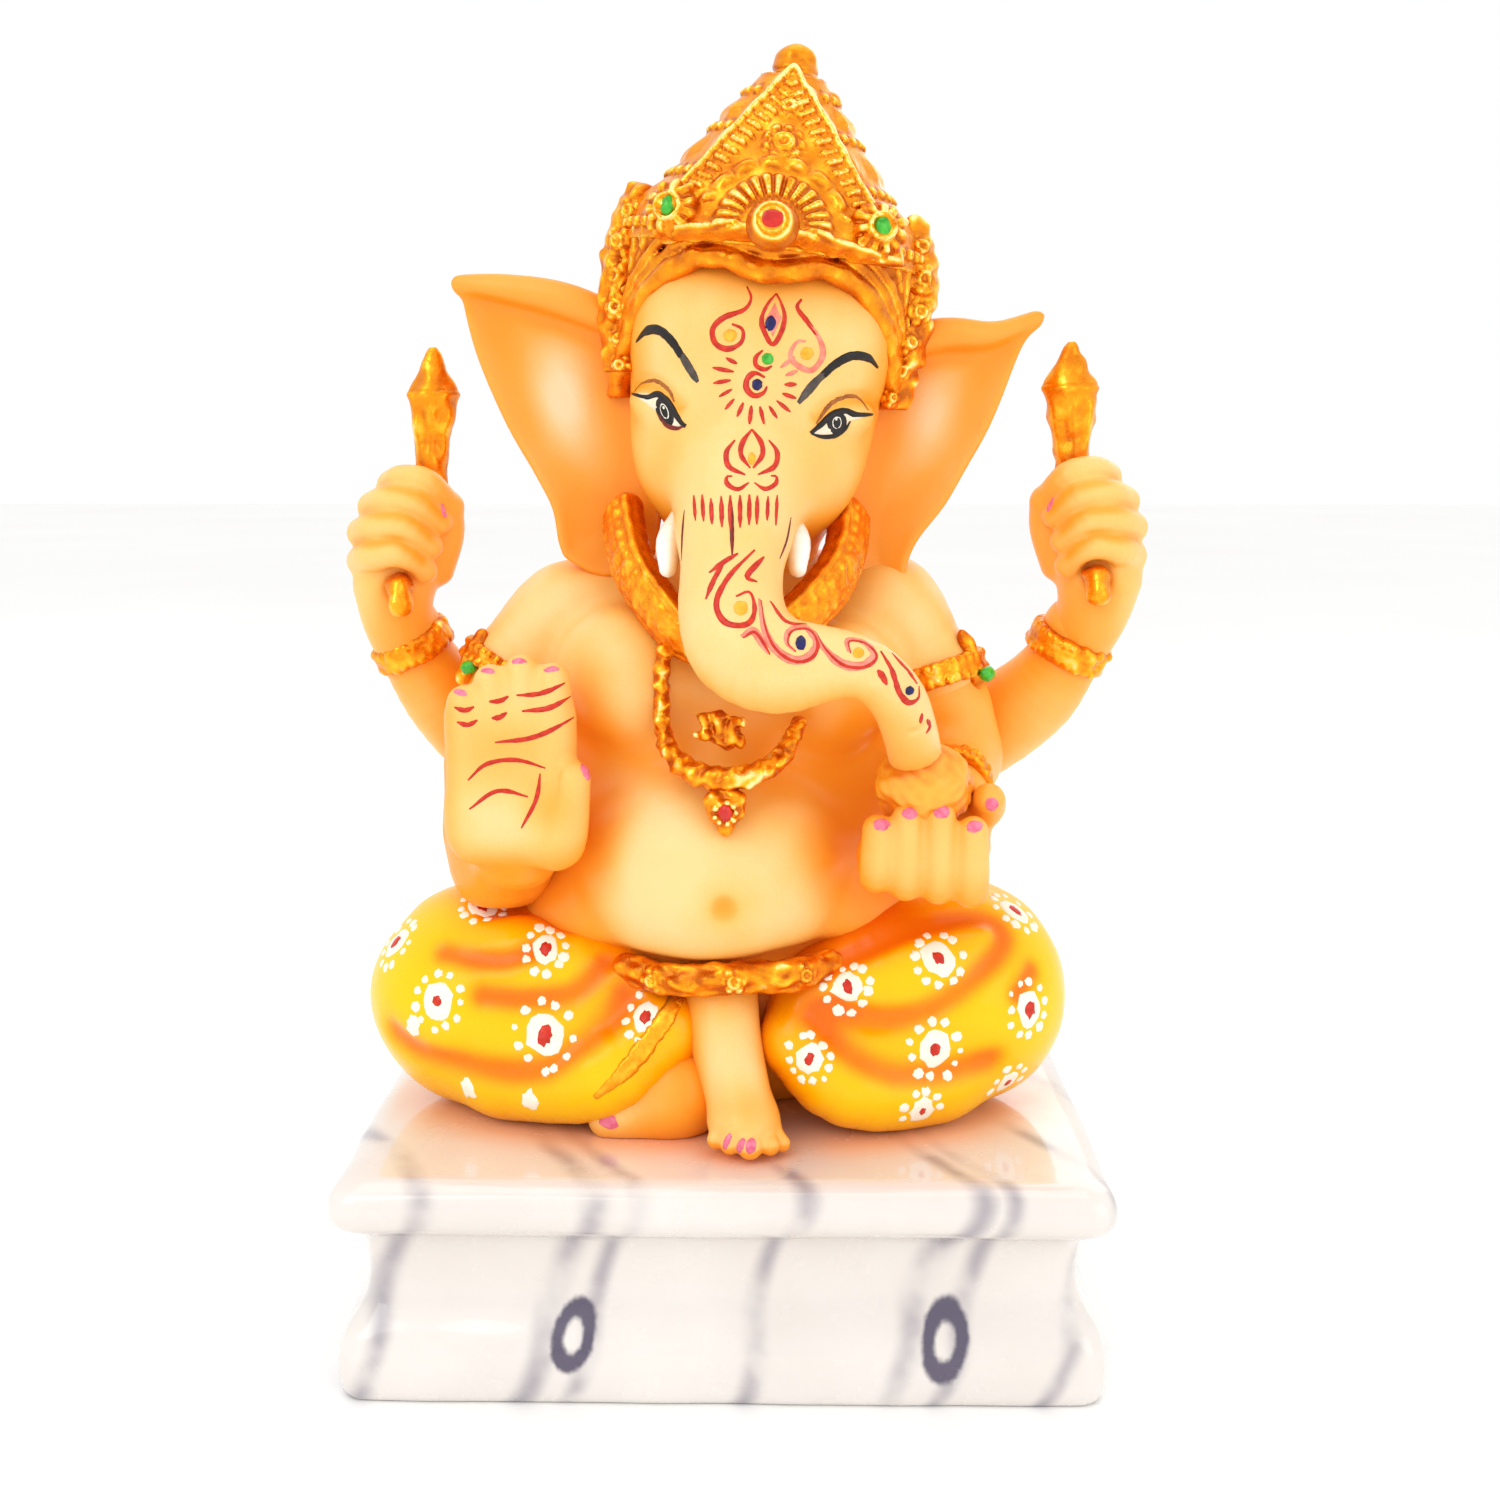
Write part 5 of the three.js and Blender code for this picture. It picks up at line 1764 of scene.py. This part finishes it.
def bridge(rings, count):
    """Faces between rings of corners, each ring with the same count."""
    faces = []
    for i in range(rings - 1):
        for k in range(count):
            j = (k + 1) % count
            faces.append((i * count + k, i * count + j, (i + 1) * count + j, (i + 1) * count + k))
    return faces


def brush(canvas, layer, stops, width, height=0.11, taper=(0.35, 0.35)):
    """A brush stroke through x, z stops: full in the middle, thinner at its two ends."""
    line = spaced(smooth([(x, 0, z) for x, z in stops], 6), 0.32)
    spots = [canvas.front(x, z) for x, _, z in line]
    points = np.array([p for p, _ in spots])
    normals = np.array([n for _, n in spots])
    run = np.gradient(points, axis=0)
    run /= np.maximum(np.linalg.norm(run, axis=1), 1e-9)[:, None]
    across = np.cross(run, normals)
    across /= np.maximum(np.linalg.norm(across, axis=1), 1e-9)[:, None]
    share = np.linspace(0, 1, len(line))
    swell = np.clip(share / 0.3, 0, 1) * (1 - taper[0]) + taper[0]
    swell *= np.clip((1 - share) / 0.3, 0, 1) * (1 - taper[1]) + taper[1]
    rough = np.convolve(HAND.normal(0, 0.09, len(line) + 2), [0.25, 0.5, 0.25], "valid")
    half = width * 0.62 * swell * (1 + rough)
    corners = []
    for p, n, a, h in zip(points, normals, across, half):
        corners += [p + a * h * u + n * height * min(1, h / 0.2) * v for u, v in SECTION]
    ring = len(SECTION)
    faces = bridge(len(line), ring)
    last = (len(line) - 1) * ring
    faces.append(tuple(range(ring))[::-1])
    faces.append(tuple(last + k for k in range(ring)))
    lay(layer, corners, faces)


def raised_spot(layer, rings, crown, rim, hub):
    """Lays a low dome of paint: rings of corners up to its crown, closed by a rim and hub below."""
    count = len(rim)
    top = len(rings)
    last = top - count
    low = top + 1
    faces = bridge(top // count, count)
    faces += [(last + k, last + (k + 1) % count, top) for k in range(count)]
    faces += [(k, low + k, low + (k + 1) % count, (k + 1) % count) for k in range(count)]
    faces += [(low + (k + 1) % count, low + k, low + count) for k in range(count)]
    lay(layer, rings + [crown] + rim + [hub], faces)


def patch(canvas, layer, outline, height=0.12, back=0.4):
    """A filled, slightly domed spot of paint inside an outline of x, z points."""
    edge = np.array([(x, z) for x, z in outline], float)
    middle = edge.mean(axis=0)
    rings = []
    for share, lift in ((1.0, -0.03), (0.93, 0.6), (0.7, 0.9), (0.4, 1.0)):
        for x, z in middle + (edge - middle) * share:
            p, n = canvas.front(x, z)
            rings.append(p + n * height * lift)
    rim = []
    for x, z in edge:
        p, n = canvas.front(x, z)
        rim.append(p - n * back)
    p, n = canvas.front(*middle)
    raised_spot(layer, rings, p + n * height, rim, p - n * back)


def oval(x, z, wide, tall, turn=0.0, count=18, rough=0.05):
    """An uneven oval outline: half widths in mm, turn in degrees."""
    a = math.radians(turn)
    points = []
    for t in np.linspace(0, 2 * math.pi, count, endpoint=False):
        r = 1 + HAND.normal(0, rough)
        u, v = wide * r * math.cos(t), tall * r * math.sin(t)
        points.append((x + u * math.cos(a) - v * math.sin(a), z + u * math.sin(a) + v * math.cos(a)))
    return points


DAB_ROOT = 0.45  # how deep a dab of paint reaches into the surface


def dab(canvas, layer, place, radius, height=0.16, stretch=(1.0, 1.0), turn=0.0, rough=0.06):
    """A spot of paint on the surface nearest to a point, lying in the surface."""
    centre, normal = canvas.near(place)
    side = np.cross(normal, (0, 0, 1.0))
    side /= max(np.linalg.norm(side), 1e-6)
    over = np.cross(side, normal)
    a = math.radians(turn)
    side, over = side * math.cos(a) + over * math.sin(a), over * math.cos(a) - side * math.sin(a)
    count = 16
    wide = [1 + HAND.normal(0, rough) for _ in range(count)]
    rings = []
    for share, lift in ((1.0, -0.03), (0.9, 0.55), (0.65, 0.88), (0.35, 1.0)):
        for k, r in enumerate(wide):
            t = 2 * math.pi * k / count
            reach = radius * share * r
            guess = centre - side * reach * stretch[0] * math.cos(t) + over * reach * stretch[1] * math.sin(t)
            p, n = canvas.near(guess)
            rings.append(p + n * height * lift)
    rim = [corner - normal * DAB_ROOT for corner in rings[:count]]
    raised_spot(layer, rings, centre + normal * height, rim, centre - normal * DAB_ROOT)


def rounded(points, per=3):
    """A closed outline through x, z points with soft corners."""
    line = smooth([(x, 0, z) for x, z in points], per, closed=True)
    return [(x, z) for x, _, z in line]


def flower(canvas, place, size=1.0, turn=0.0, dots=11, red=(1.15, 1.5), first=0, seen=None):
    """A white oval with a red heart and a ring of white dots round it."""
    centre, normal = canvas.near(place)
    side = np.cross(normal, (0, 0, 1.0))
    side /= np.linalg.norm(side)
    over = np.cross(side, normal)
    a = math.radians(turn)
    dab(canvas, "white", place, 2.75 * size, 0.16, (0.92, 1.12), turn, 0.07)
    dab(canvas, "red", place, size, 0.3, red, turn, 0.1)
    for k in range(first, first + (dots if seen is None else seen)):
        t = 2 * math.pi * k / dots + HAND.normal(0, 0.06) + a
        reach = (4.25 + HAND.normal(0, 0.18)) * size
        guess = centre - side * reach * 0.94 * math.cos(t) + over * reach * 1.08 * math.sin(t)
        dab(canvas, "white", guess, 0.72 + HAND.normal(0, 0.09), 0.2, rough=0.1)


def paint_eyes(face):
    white_right = [(-13.1, 147.4), (-10.0, 147.3), (-8.4, 146.0), (-6.5, 144.0), (-5.4, 142.9), (-6.5, 142.6)]
    white_right += [(-8.3, 143.2), (-9.5, 144.7)]
    white_left = [(21.5, 144.2), (19.6, 144.5), (17.8, 144.7), (16.2, 144.2), (14.6, 142.9), (13.0, 141.8)]
    white_left += [(14.6, 141.4), (16.5, 141.6), (17.8, 142.5), (18.8, 143.6)]
    patch(face, "cream", rounded(white_right), 0.08)
    patch(face, "cream", rounded(white_left), 0.08)
    for x, z, wide, tall, turn in ((-8.35, 144.8, 1.3, 2.35, 24), (16.6, 143.2, 1.55, 1.75, -12)):
        patch(face, "black", oval(x, z, wide, tall, turn, rough=0.02), 0.16)
        patch(face, "white", oval(x, z, wide * 0.56, tall * 0.62, turn, rough=0.02), 0.2)
        patch(face, "black", oval(x, z, wide * 0.45, tall * 0.53, turn, rough=0.02), 0.24)
        patch(face, "white", oval(x - 0.1, z + 0.5, 0.2, 0.3, turn, rough=0.02), 0.28)
    lid = [(-13.4, 147.4), (-11.1, 146.9), (-9.5, 147.3), (-8.1, 146.3)]
    lid += [(-7.0, 144.7), (-5.9, 143.2), (-5.2, 142.7)]
    brush(face, "black", lid, 0.85, 0.22, (0.35, 0.6))
    lid = [(12.8, 141.7), (14.3, 142.9), (15.9, 144.3), (17.8, 144.9), (19.3, 144.4), (21.9, 144.4)]
    brush(face, "black", lid, 0.85, 0.22, (0.6, 0.35))
    brush(face, "maroon", [(-9.3, 144.4), (-8.1, 142.9), (-6.5, 142.4), (-5.4, 142.8)], 0.6, 0.2)
    under = [(13.0, 141.6), (14.6, 141.2), (16.5, 141.4), (17.9, 142.3), (18.6, 143.4)]
    brush(face, "black", under, 0.6, 0.2)
    brush(face, "brown", [(-13.1, 147.6), (-12.3, 148.8), (-10.1, 149.3), (-8.0, 148.1), (-7.0, 146.2)], 0.6)
    brush(face, "brown", [(13.6, 143.1), (15.6, 145.8), (17.8, 146.9), (19.9, 146.7), (21.3, 145.0)], 0.6)


def paint_brows(face):
    brow = [(-12.9, 155.0), (-11.2, 156.4), (-9.2, 156.4), (-7.3, 154.8), (-5.9, 152.7)]
    brush(face, "black", brow, 1.15, 0.12, (0.3, 0.8))
    brush(face, "grey", [(-5.9, 152.9), (-5.0, 151.4), (-4.2, 150.1), (-3.5, 149.0)], 1.1, 0.12, (0.8, 0.4))
    brow = [(22.7, 151.2), (21.2, 152.5), (18.7, 152.7), (16.3, 151.5), (14.6, 150.0)]
    brush(face, "black", brow, 1.15, 0.12, (0.3, 0.8))
    brush(face, "grey", [(14.8, 150.2), (13.5, 149.0), (12.2, 147.5), (11.0, 146.0)], 1.1, 0.12, (0.8, 0.4))


def paint_forehead(face):
    """A leaf between two scrolls, with dots and a sunburst of short strokes under it."""
    leaf = [(7.8, 161.4), (8.5, 160.0), (9.0, 158.1), (8.5, 155.9), (7.3, 154.2), (6.2, 155.8), (5.7, 157.7)]
    leaf += [(6.5, 159.8), (7.8, 161.4)]
    patch(face, "rose", [(7.6, 160.2), (8.6, 158.0), (7.3, 155.2), (6.1, 157.7)], 0.06)
    brush(face, "red", leaf, 0.62)
    patch(face, "blue", oval(7.0, 157.2, 0.8, 1.15, -8), 0.24)
    ring = [(5.9, 153.4), (4.9, 152.4), (5.0, 151.2), (6.2, 150.7), (7.2, 151.2)]
    brush(face, "red", ring, 0.6)
    patch(face, "green", oval(6.6, 152.2, 0.85, 0.85), 0.26)
    ring = [(6.2, 149.6), (4.8, 150.2), (3.7, 149.4), (3.6, 148.0), (4.7, 147.0), (6.0, 147.4), (6.5, 148.3)]
    brush(face, "red", ring, 0.75)
    patch(face, "blue", oval(5.1, 148.6, 0.75, 0.85), 0.26)
    scroll = [(3.6, 162.4), (4.2, 160.7), (3.2, 159.1), (0.3, 158.0), (-1.3, 156.4)]
    scroll += [(-0.9, 154.4), (0.9, 153.6), (2.8, 154.5), (3.0, 156.3), (1.5, 157.1)]
    brush(face, "red", scroll, 0.7, 0.11, (0.3, 0.4))
    patch(face, "yellow", oval(1.2, 155.5, 0.95, 0.9), 0.22)
    scroll = [(11.4, 160.6), (10.8, 159.4), (12.2, 157.5), (13.9, 155.2), (14.5, 152.8), (13.0, 150.7)]
    brush(face, "red", scroll[:4], 0.6, 0.11, (0.4, 0.5))
    brush(face, "rose", scroll[2:] + [(10.9, 151.3), (9.8, 152.8), (10.8, 154.6), (12.0, 154.7)], 0.75)
    patch(face, "yellow", oval(12.2, 153.0, 0.95, 0.9), 0.22)
    for degrees in range(-218, 40, 19):
        a = math.radians(degrees)
        start, end = 3.9 + HAND.normal(0, 0.15), 6.0 + HAND.normal(0, 0.3)
        x, z = 5.2 + start * math.cos(a), 149.2 + start * math.sin(a)
        far = (5.2 + end * math.cos(a + 0.06), 149.2 + end * math.sin(a + 0.06))
        half_way = ((x + far[0]) / 2, (z + far[1]) / 2)
        brush(face, "red" if degrees < 0 else "rose", [(x, z), half_way, far], 0.55)


def paint_bud(face):
    """A lotus bud on the root of the trunk."""
    for side in (-1, 1):
        petal = [(0, 4.4), (1.3, 2.6), (1.5, 0.8), (0.2, -1.0)]
        brush(face, "red", [(4.4 + side * x, 137.9 + z) for x, z in petal], 0.65)
        petal = [(2.4, 2.9), (3.6, 1.2), (3.2, -0.8), (0.9, -1.9)]
        brush(face, "red", [(4.4 + side * x, 137.9 + z) for x, z in petal], 0.65)
        curl = [(0.4, -3.0), (1.9, -3.9), (3.4, -3.2), (3.5, -2.2), (2.7, -2.1)]
        brush(face, "red", [(4.4 + side * x, 137.9 + z) for x, z in curl], 0.55)
    patch(face, "yellow", oval(4.4, 138.2, 0.55, 0.85), 0.22)


def paint_trunk(face):
    """A fringe, three fine lines and a run of scrolls with coloured dots down to the tip."""
    for k in range(10):
        x = -3.9 + k * 1.32 + HAND.normal(0, 0.1)
        lean = 0.35 - 0.06 * k
        top, low = 133.1 + HAND.normal(0, 0.15), 129.2 + HAND.normal(0, 0.3)
        brush(face, "red", [(x, top), (x + lean * 0.5, (top + low) / 2), (x + lean, low)], 0.55)
    brush(face, "maroon", [(-5.2, 131.0), (-5.5, 127.3), (-5.6, 123.8)], 0.42)
    brush(face, "maroon", [(10.0, 129.9), (9.4, 126.7), (8.4, 124.2)], 0.45)
    brush(face, "maroon", [(1.7, 131.5), (1.7, 128.3), (1.8, 125.1)], 0.5)
    red = [
        [(2.6, 125.3), (0.7, 124.2), (-1.4, 122.7)],
        [(0.8, 124.4), (-0.7, 121.8), (-1.8, 119.2)],
        [(4.9, 125.7), (1.4, 122.3), (-0.3, 118.8), (1.0, 116.3), (4.0, 116.1)]
        + [(5.0, 117.9), (4.3, 120.2), (2.4, 119.7)],
        [(6.2, 124.7), (3.9, 122.3), (5.3, 121.5)],
        [(7.1, 118.9), (9.3, 116.3), (12.2, 115.8)],
        [(22.4, 112.2), (23.9, 109.7), (25.0, 106.5), (26.4, 104.9), (27.8, 105.4), (27.9, 107.0)],
        [(24.0, 111.8), (26.2, 109.4), (27.6, 107.4)],
        [(21.9, 109.8), (22.6, 108.9), (23.2, 107.7)],
        [(28.4, 103.1), (28.3, 101.6)],
        [(29.2, 102.0), (29.8, 100.8), (29.2, 99.9)],
    ]
    for stops in red:
        if len(stops) == 2:
            stops = [stops[0], tuple(np.mean(stops, axis=0)), stops[1]]
        brush(face, "red", stops, 0.72)
    rose = [
        [(5.6, 119.3), (6.3, 115.6), (7.8, 112.9), (10.3, 111.4), (12.6, 111.9), (13.4, 113.7), (12.2, 115.4)]
        + [(9.9, 115.3), (9.3, 113.8), (10.4, 112.7)],
        [(13.2, 115.0), (14.6, 112.8), (17.0, 110.8), (19.8, 110.5), (21.5, 111.8), (20.0, 113.5)]
        + [(17.7, 113.9), (17.9, 112.4)],
        [(3.2, 114.5), (4.9, 115.2), (6.9, 112.3)],
    ]
    for stops in rose:
        brush(face, "rose", stops, 1.0, 0.08)
        brush(face, "red", [(x + 0.25, z - 0.2) for x, z in stops], 0.5, 0.14)
    patch(face, "yellow", oval(3.1, 118.2, 0.95, 0.95), 0.22)
    patch(face, "blue", oval(11.3, 113.6, 0.75, 0.95), 0.24)
    patch(face, "yellow", oval(19.2, 112.2, 0.8, 0.7), 0.22)
    patch(face, "blue", oval(26.5, 106.6, 0.65, 0.65), 0.24)


def paint_hands():
    palm = Canvas("front_arm_and_palm_right")
    rows = [
        [(-39.0, 102.3), (-37.4, 101.9), (-36.1, 102.4)],
        [(-33.9, 103.2), (-32.4, 103.2), (-31.1, 103.9)],
        [(-29.9, 104.1), (-26.5, 104.3), (-22.9, 105.8)],
        [(-38.6, 100.2), (-37.0, 99.8), (-35.6, 100.5)],
        [(-33.5, 100.8), (-32.4, 100.9), (-31.3, 101.6)],
        [(-29.1, 101.8), (-25.4, 102.2), (-22.2, 103.7)],
        [(-33.1, 97.2), (-27.4, 98.0), (-21.8, 100.6)],
    ]
    for stops in rows:
        brush(palm, "red", stops, 0.62)
    creases = [
        [(-37.2, 91.6), (-34.4, 94.0), (-30.0, 94.6), (-25.8, 93.4)],
        [(-37.0, 87.4), (-33.0, 90.0), (-28.4, 89.2)],
        [(-26.6, 92.6), (-27.2, 88.8), (-29.4, 84.6)],
    ]
    for stops in creases:
        brush(palm, "red", stops, 0.55)
    tips = ((-38.4, 105.0, 20), (-34.2, 108.2, 12), (-29.6, 109.6, 0), (-24.8, 108.4, -12))
    for x, z, turn in tips:
        dab(palm, "nail", (x, -25.2, z), 1.0, 0.14, (1.25, 0.55), turn)
    dab(palm, "nail", (-20.2, -25.6, 92.6), 1.0, 0.2, (1.0, 1.6), 12)
    hand = Canvas("front_arm_and_hand_left")
    for x, z in ((23.4, 85.9), (27.4, 87.5), (32.0, 87.7), (36.8, 85.6)):
        dab(hand, "nail", (x, -28.6, z), 1.0, 0.2, (1.45, 1.05), -10)
    dab(hand, "nail", (39.6, -25, 88.0), 1.0, 0.2, (1.1, 1.2), -30)
    for name, place in (("right", (-42.2, -3, 130.4)), ("left", (48.4, -3, 131.4))):
        dab(Canvas(f"back_hand_{name}_fist"), "nail", place, 0.8, 0.18, (0.8, 1.5), 10)


def paint_feet():
    foot = Canvas("foot_left_toes_forward")
    for x, z, size in ((-0.2, 38.3, (0.55, 1.5)), (1.8, 37.5, (0.75, 1.45)), (4.4, 37.4, (0.9, 1.5))):
        dab(foot, "nail", (x, -31, z), 1.0, 0.2, size, 12)
    other = Canvas("foot_right_folded")
    dab(other, "nail", (-18.0, -22, 37.2), 1.0, 0.2, (1.7, 1.2), 20)


def paint_cloth():
    right = Canvas("dhoti_right_leg")
    flower(right, (-53.6, -7.5, 62.6), 0.95, 25)
    flower(right, (-38.6, -7.0, 67.4), 0.95, 10)
    flower(right, (-27.5, -16, 63.2), 0.85, -10)
    flower(right, (-44.9, -20, 55.9), 1.0, 0, red=(0.9, 0.9))
    flower(right, (-27.5, -22, 51.6), 1.12, 0)
    flower(right, (-11.9, -22, 54.9), 0.85, 5, 10, (1.1, 1.4), 3, 6)
    for x, z in ((-53.2, 49.4), (-43.9, 38.8), (-30.6, 39.9)):
        dab(right, "white", (x, -24, z), 1.7, 0.2, (0.8, 1.15), 8, 0.14)
    hem = [(-6.0, 58.4), (-7.4, 56.0), (-10.4, 51.8), (-14.6, 46.6), (-19.4, 42.2)]
    brush(right, "gold", hem, 2.4, 0.3, (0.6, 0.3))
    left = Canvas("dhoti_left_leg")
    flower(left, (18.8, -21, 58.6), 0.9, -15, red=(0.9, 1.3))
    flower(left, (32.8, -17, 62.3), 0.95, -25, red=(1.0, 1.25))
    flower(left, (46.0, -6, 67.4), 0.9, -20)
    flower(left, (49.4, -18, 54.2), 0.95, 10)
    flower(left, (32.7, -22, 48.9), 1.0, 0, red=(0.9, 1.1))
    flower(left, (13.2, -22, 47.8), 0.85, 20, red=(0.9, 1.3))
    flower(left, (46.2, -15, 39.0), 0.8, 0, 9, (0.9, 1.1), 0, 6)
    flower(left, (31.0, -22, 38.6), 0.8, 0, 9, (0.8, 1.0), 0, 6)
    for x, y, z in ((55, 6, 50), (50, 9, 64), (47, 15, 43), (42, 16, 56), (36, 18, 65), (37, 18, 48)):
        flower(right, (-x - 2.5, y, z), 0.95, 10)
        flower(left, (x, y, z), 0.95, -10)
    seat = Canvas("dhoti_seat")
    for x, z in ((-22, 56), (-8, 59), (8, 58), (22, 56), (-14, 47), (0, 47), (14, 48)):
        flower(seat, (x, 30, z), 0.95, 5)


PAINTS = {
    "black": DARK_PAINT,
    "grey": GREY_PAINT,
    "red": RED_PAINT,
    "rose": ROSE_PAINT,
    "brown": BROWN_PAINT,
    "maroon": MAROON_PAINT,
    "white": WHITE_PAINT,
    "cream": CREAM_PAINT,
    "yellow": YELLOW_PAINT,
    "blue": BLUE_PAINT,
    "green": GREEN_STONE,
    "nail": NAIL_PAINT,
    "gold": GOLD,
}


def paint_everything():
    face = Canvas("head_and_trunk")
    paint_eyes(face)
    paint_brows(face)
    paint_forehead(face)
    paint_bud(face)
    paint_trunk(face)
    paint_hands()
    paint_feet()
    paint_cloth()
    for layer, (corners, faces) in LAYERS.items():
        piece = mesh_object(f"paint_{layer}_strokes", corners, faces)
        add_attribute(piece, "edge", np.full(len(corners), 0.6))
        finish_piece(piece, PAINTS[layer])


# ------------------------------------------------------------------ build the forms

torso_form()
head_form()
ears()
for hand in (-1, 1):
    tusk_form(hand)
    back_arm_form(hand)
    back_hand_form(hand)
    emblem_form(hand)
    crown_side_forms(hand)
right_front_arm()
left_front_arm()
laddu_form()
dhoti_forms()
feet_forms()
crown_dome_form()
crown_finial_form()
crown_band_form()
crown_crest_form()
crown_stones()
collar_form()
chain_form()
breast_ornaments()
arm_ornaments()
waistband_form()
plinth_form()

haze_low, haze_grid = whole_grid()
BUILT = {f["name"]: sculpt(f, haze_low, haze_grid) for f in FORMS}
for ear_name in ("ear_right_shell", "ear_left_shell"):
    ear = BUILT[ear_name]
    add_attribute(ear, "blush", np.full(len(ear.data.vertices), 0.55))
add_blotches(BUILT["plinth_marble"])
paint_everything()

# ------------------------------------------------------------------ stage, camera, light


def stage():
    bpy.ops.mesh.primitive_plane_add(size=6, location=(0, 0, 0))
    floor = bpy.context.object
    floor.name = "floor"
    s = Shader("floor_white")
    s.colour(s.ramp(s.noise(300, 2), [(0.3, "fbfaf9"), (0.7, "fefefd")]))
    floor.data.materials.append(s.material)


def area_light(name, place, target, size, energy, colour=(1, 1, 1)):
    light = bpy.data.lights.new(name, "AREA")
    light.shape = "RECTANGLE"
    light.size, light.size_y = size
    light.energy = energy
    light.color = colour
    obj = bpy.data.objects.new(name, light)
    obj.location = place
    aim = Vector(target) - Vector(place)
    obj.rotation_euler = aim.to_track_quat("-Z", "Y").to_euler()
    bpy.context.scene.collection.objects.link(obj)


def lights():
    middle = (0.0, 0.0, 0.09)
    area_light("key", (-0.42, -0.6, 0.62), middle, (0.5, 0.5), 1.5)
    area_light("fill", (0.55, -0.5, 0.3), middle, (0.5, 0.5), 0.7)
    area_light("top", (0.0, 0.05, 0.8), middle, (0.6, 0.6), 0.9)
    area_light("back", (0.3, 0.6, 0.5), middle, (0.5, 0.5), 0.6)
    world = bpy.data.worlds.new("studio")
    world.use_nodes = True
    world.node_tree.nodes["Background"].inputs["Color"].default_value = (1, 1, 1, 1)
    world.node_tree.nodes["Background"].inputs["Strength"].default_value = 1.0
    bpy.context.scene.world = world
    bpy.context.scene.view_settings.view_transform = "Standard"


def camera():
    """A little above the figure, looking slightly down."""
    data = bpy.data.cameras.new("camera")
    data.lens = 45.6
    data.sensor_width = 36.0
    data.clip_start = 0.01
    eye = bpy.data.objects.new("camera", data)
    eye.location = (0.0089, -0.2989, 0.1436)
    eye.rotation_euler = (math.radians(90 - 9.853), 0, math.radians(1.0))
    bpy.context.scene.collection.objects.link(eye)
    bpy.context.scene.camera = eye


stage()
lights()
camera()
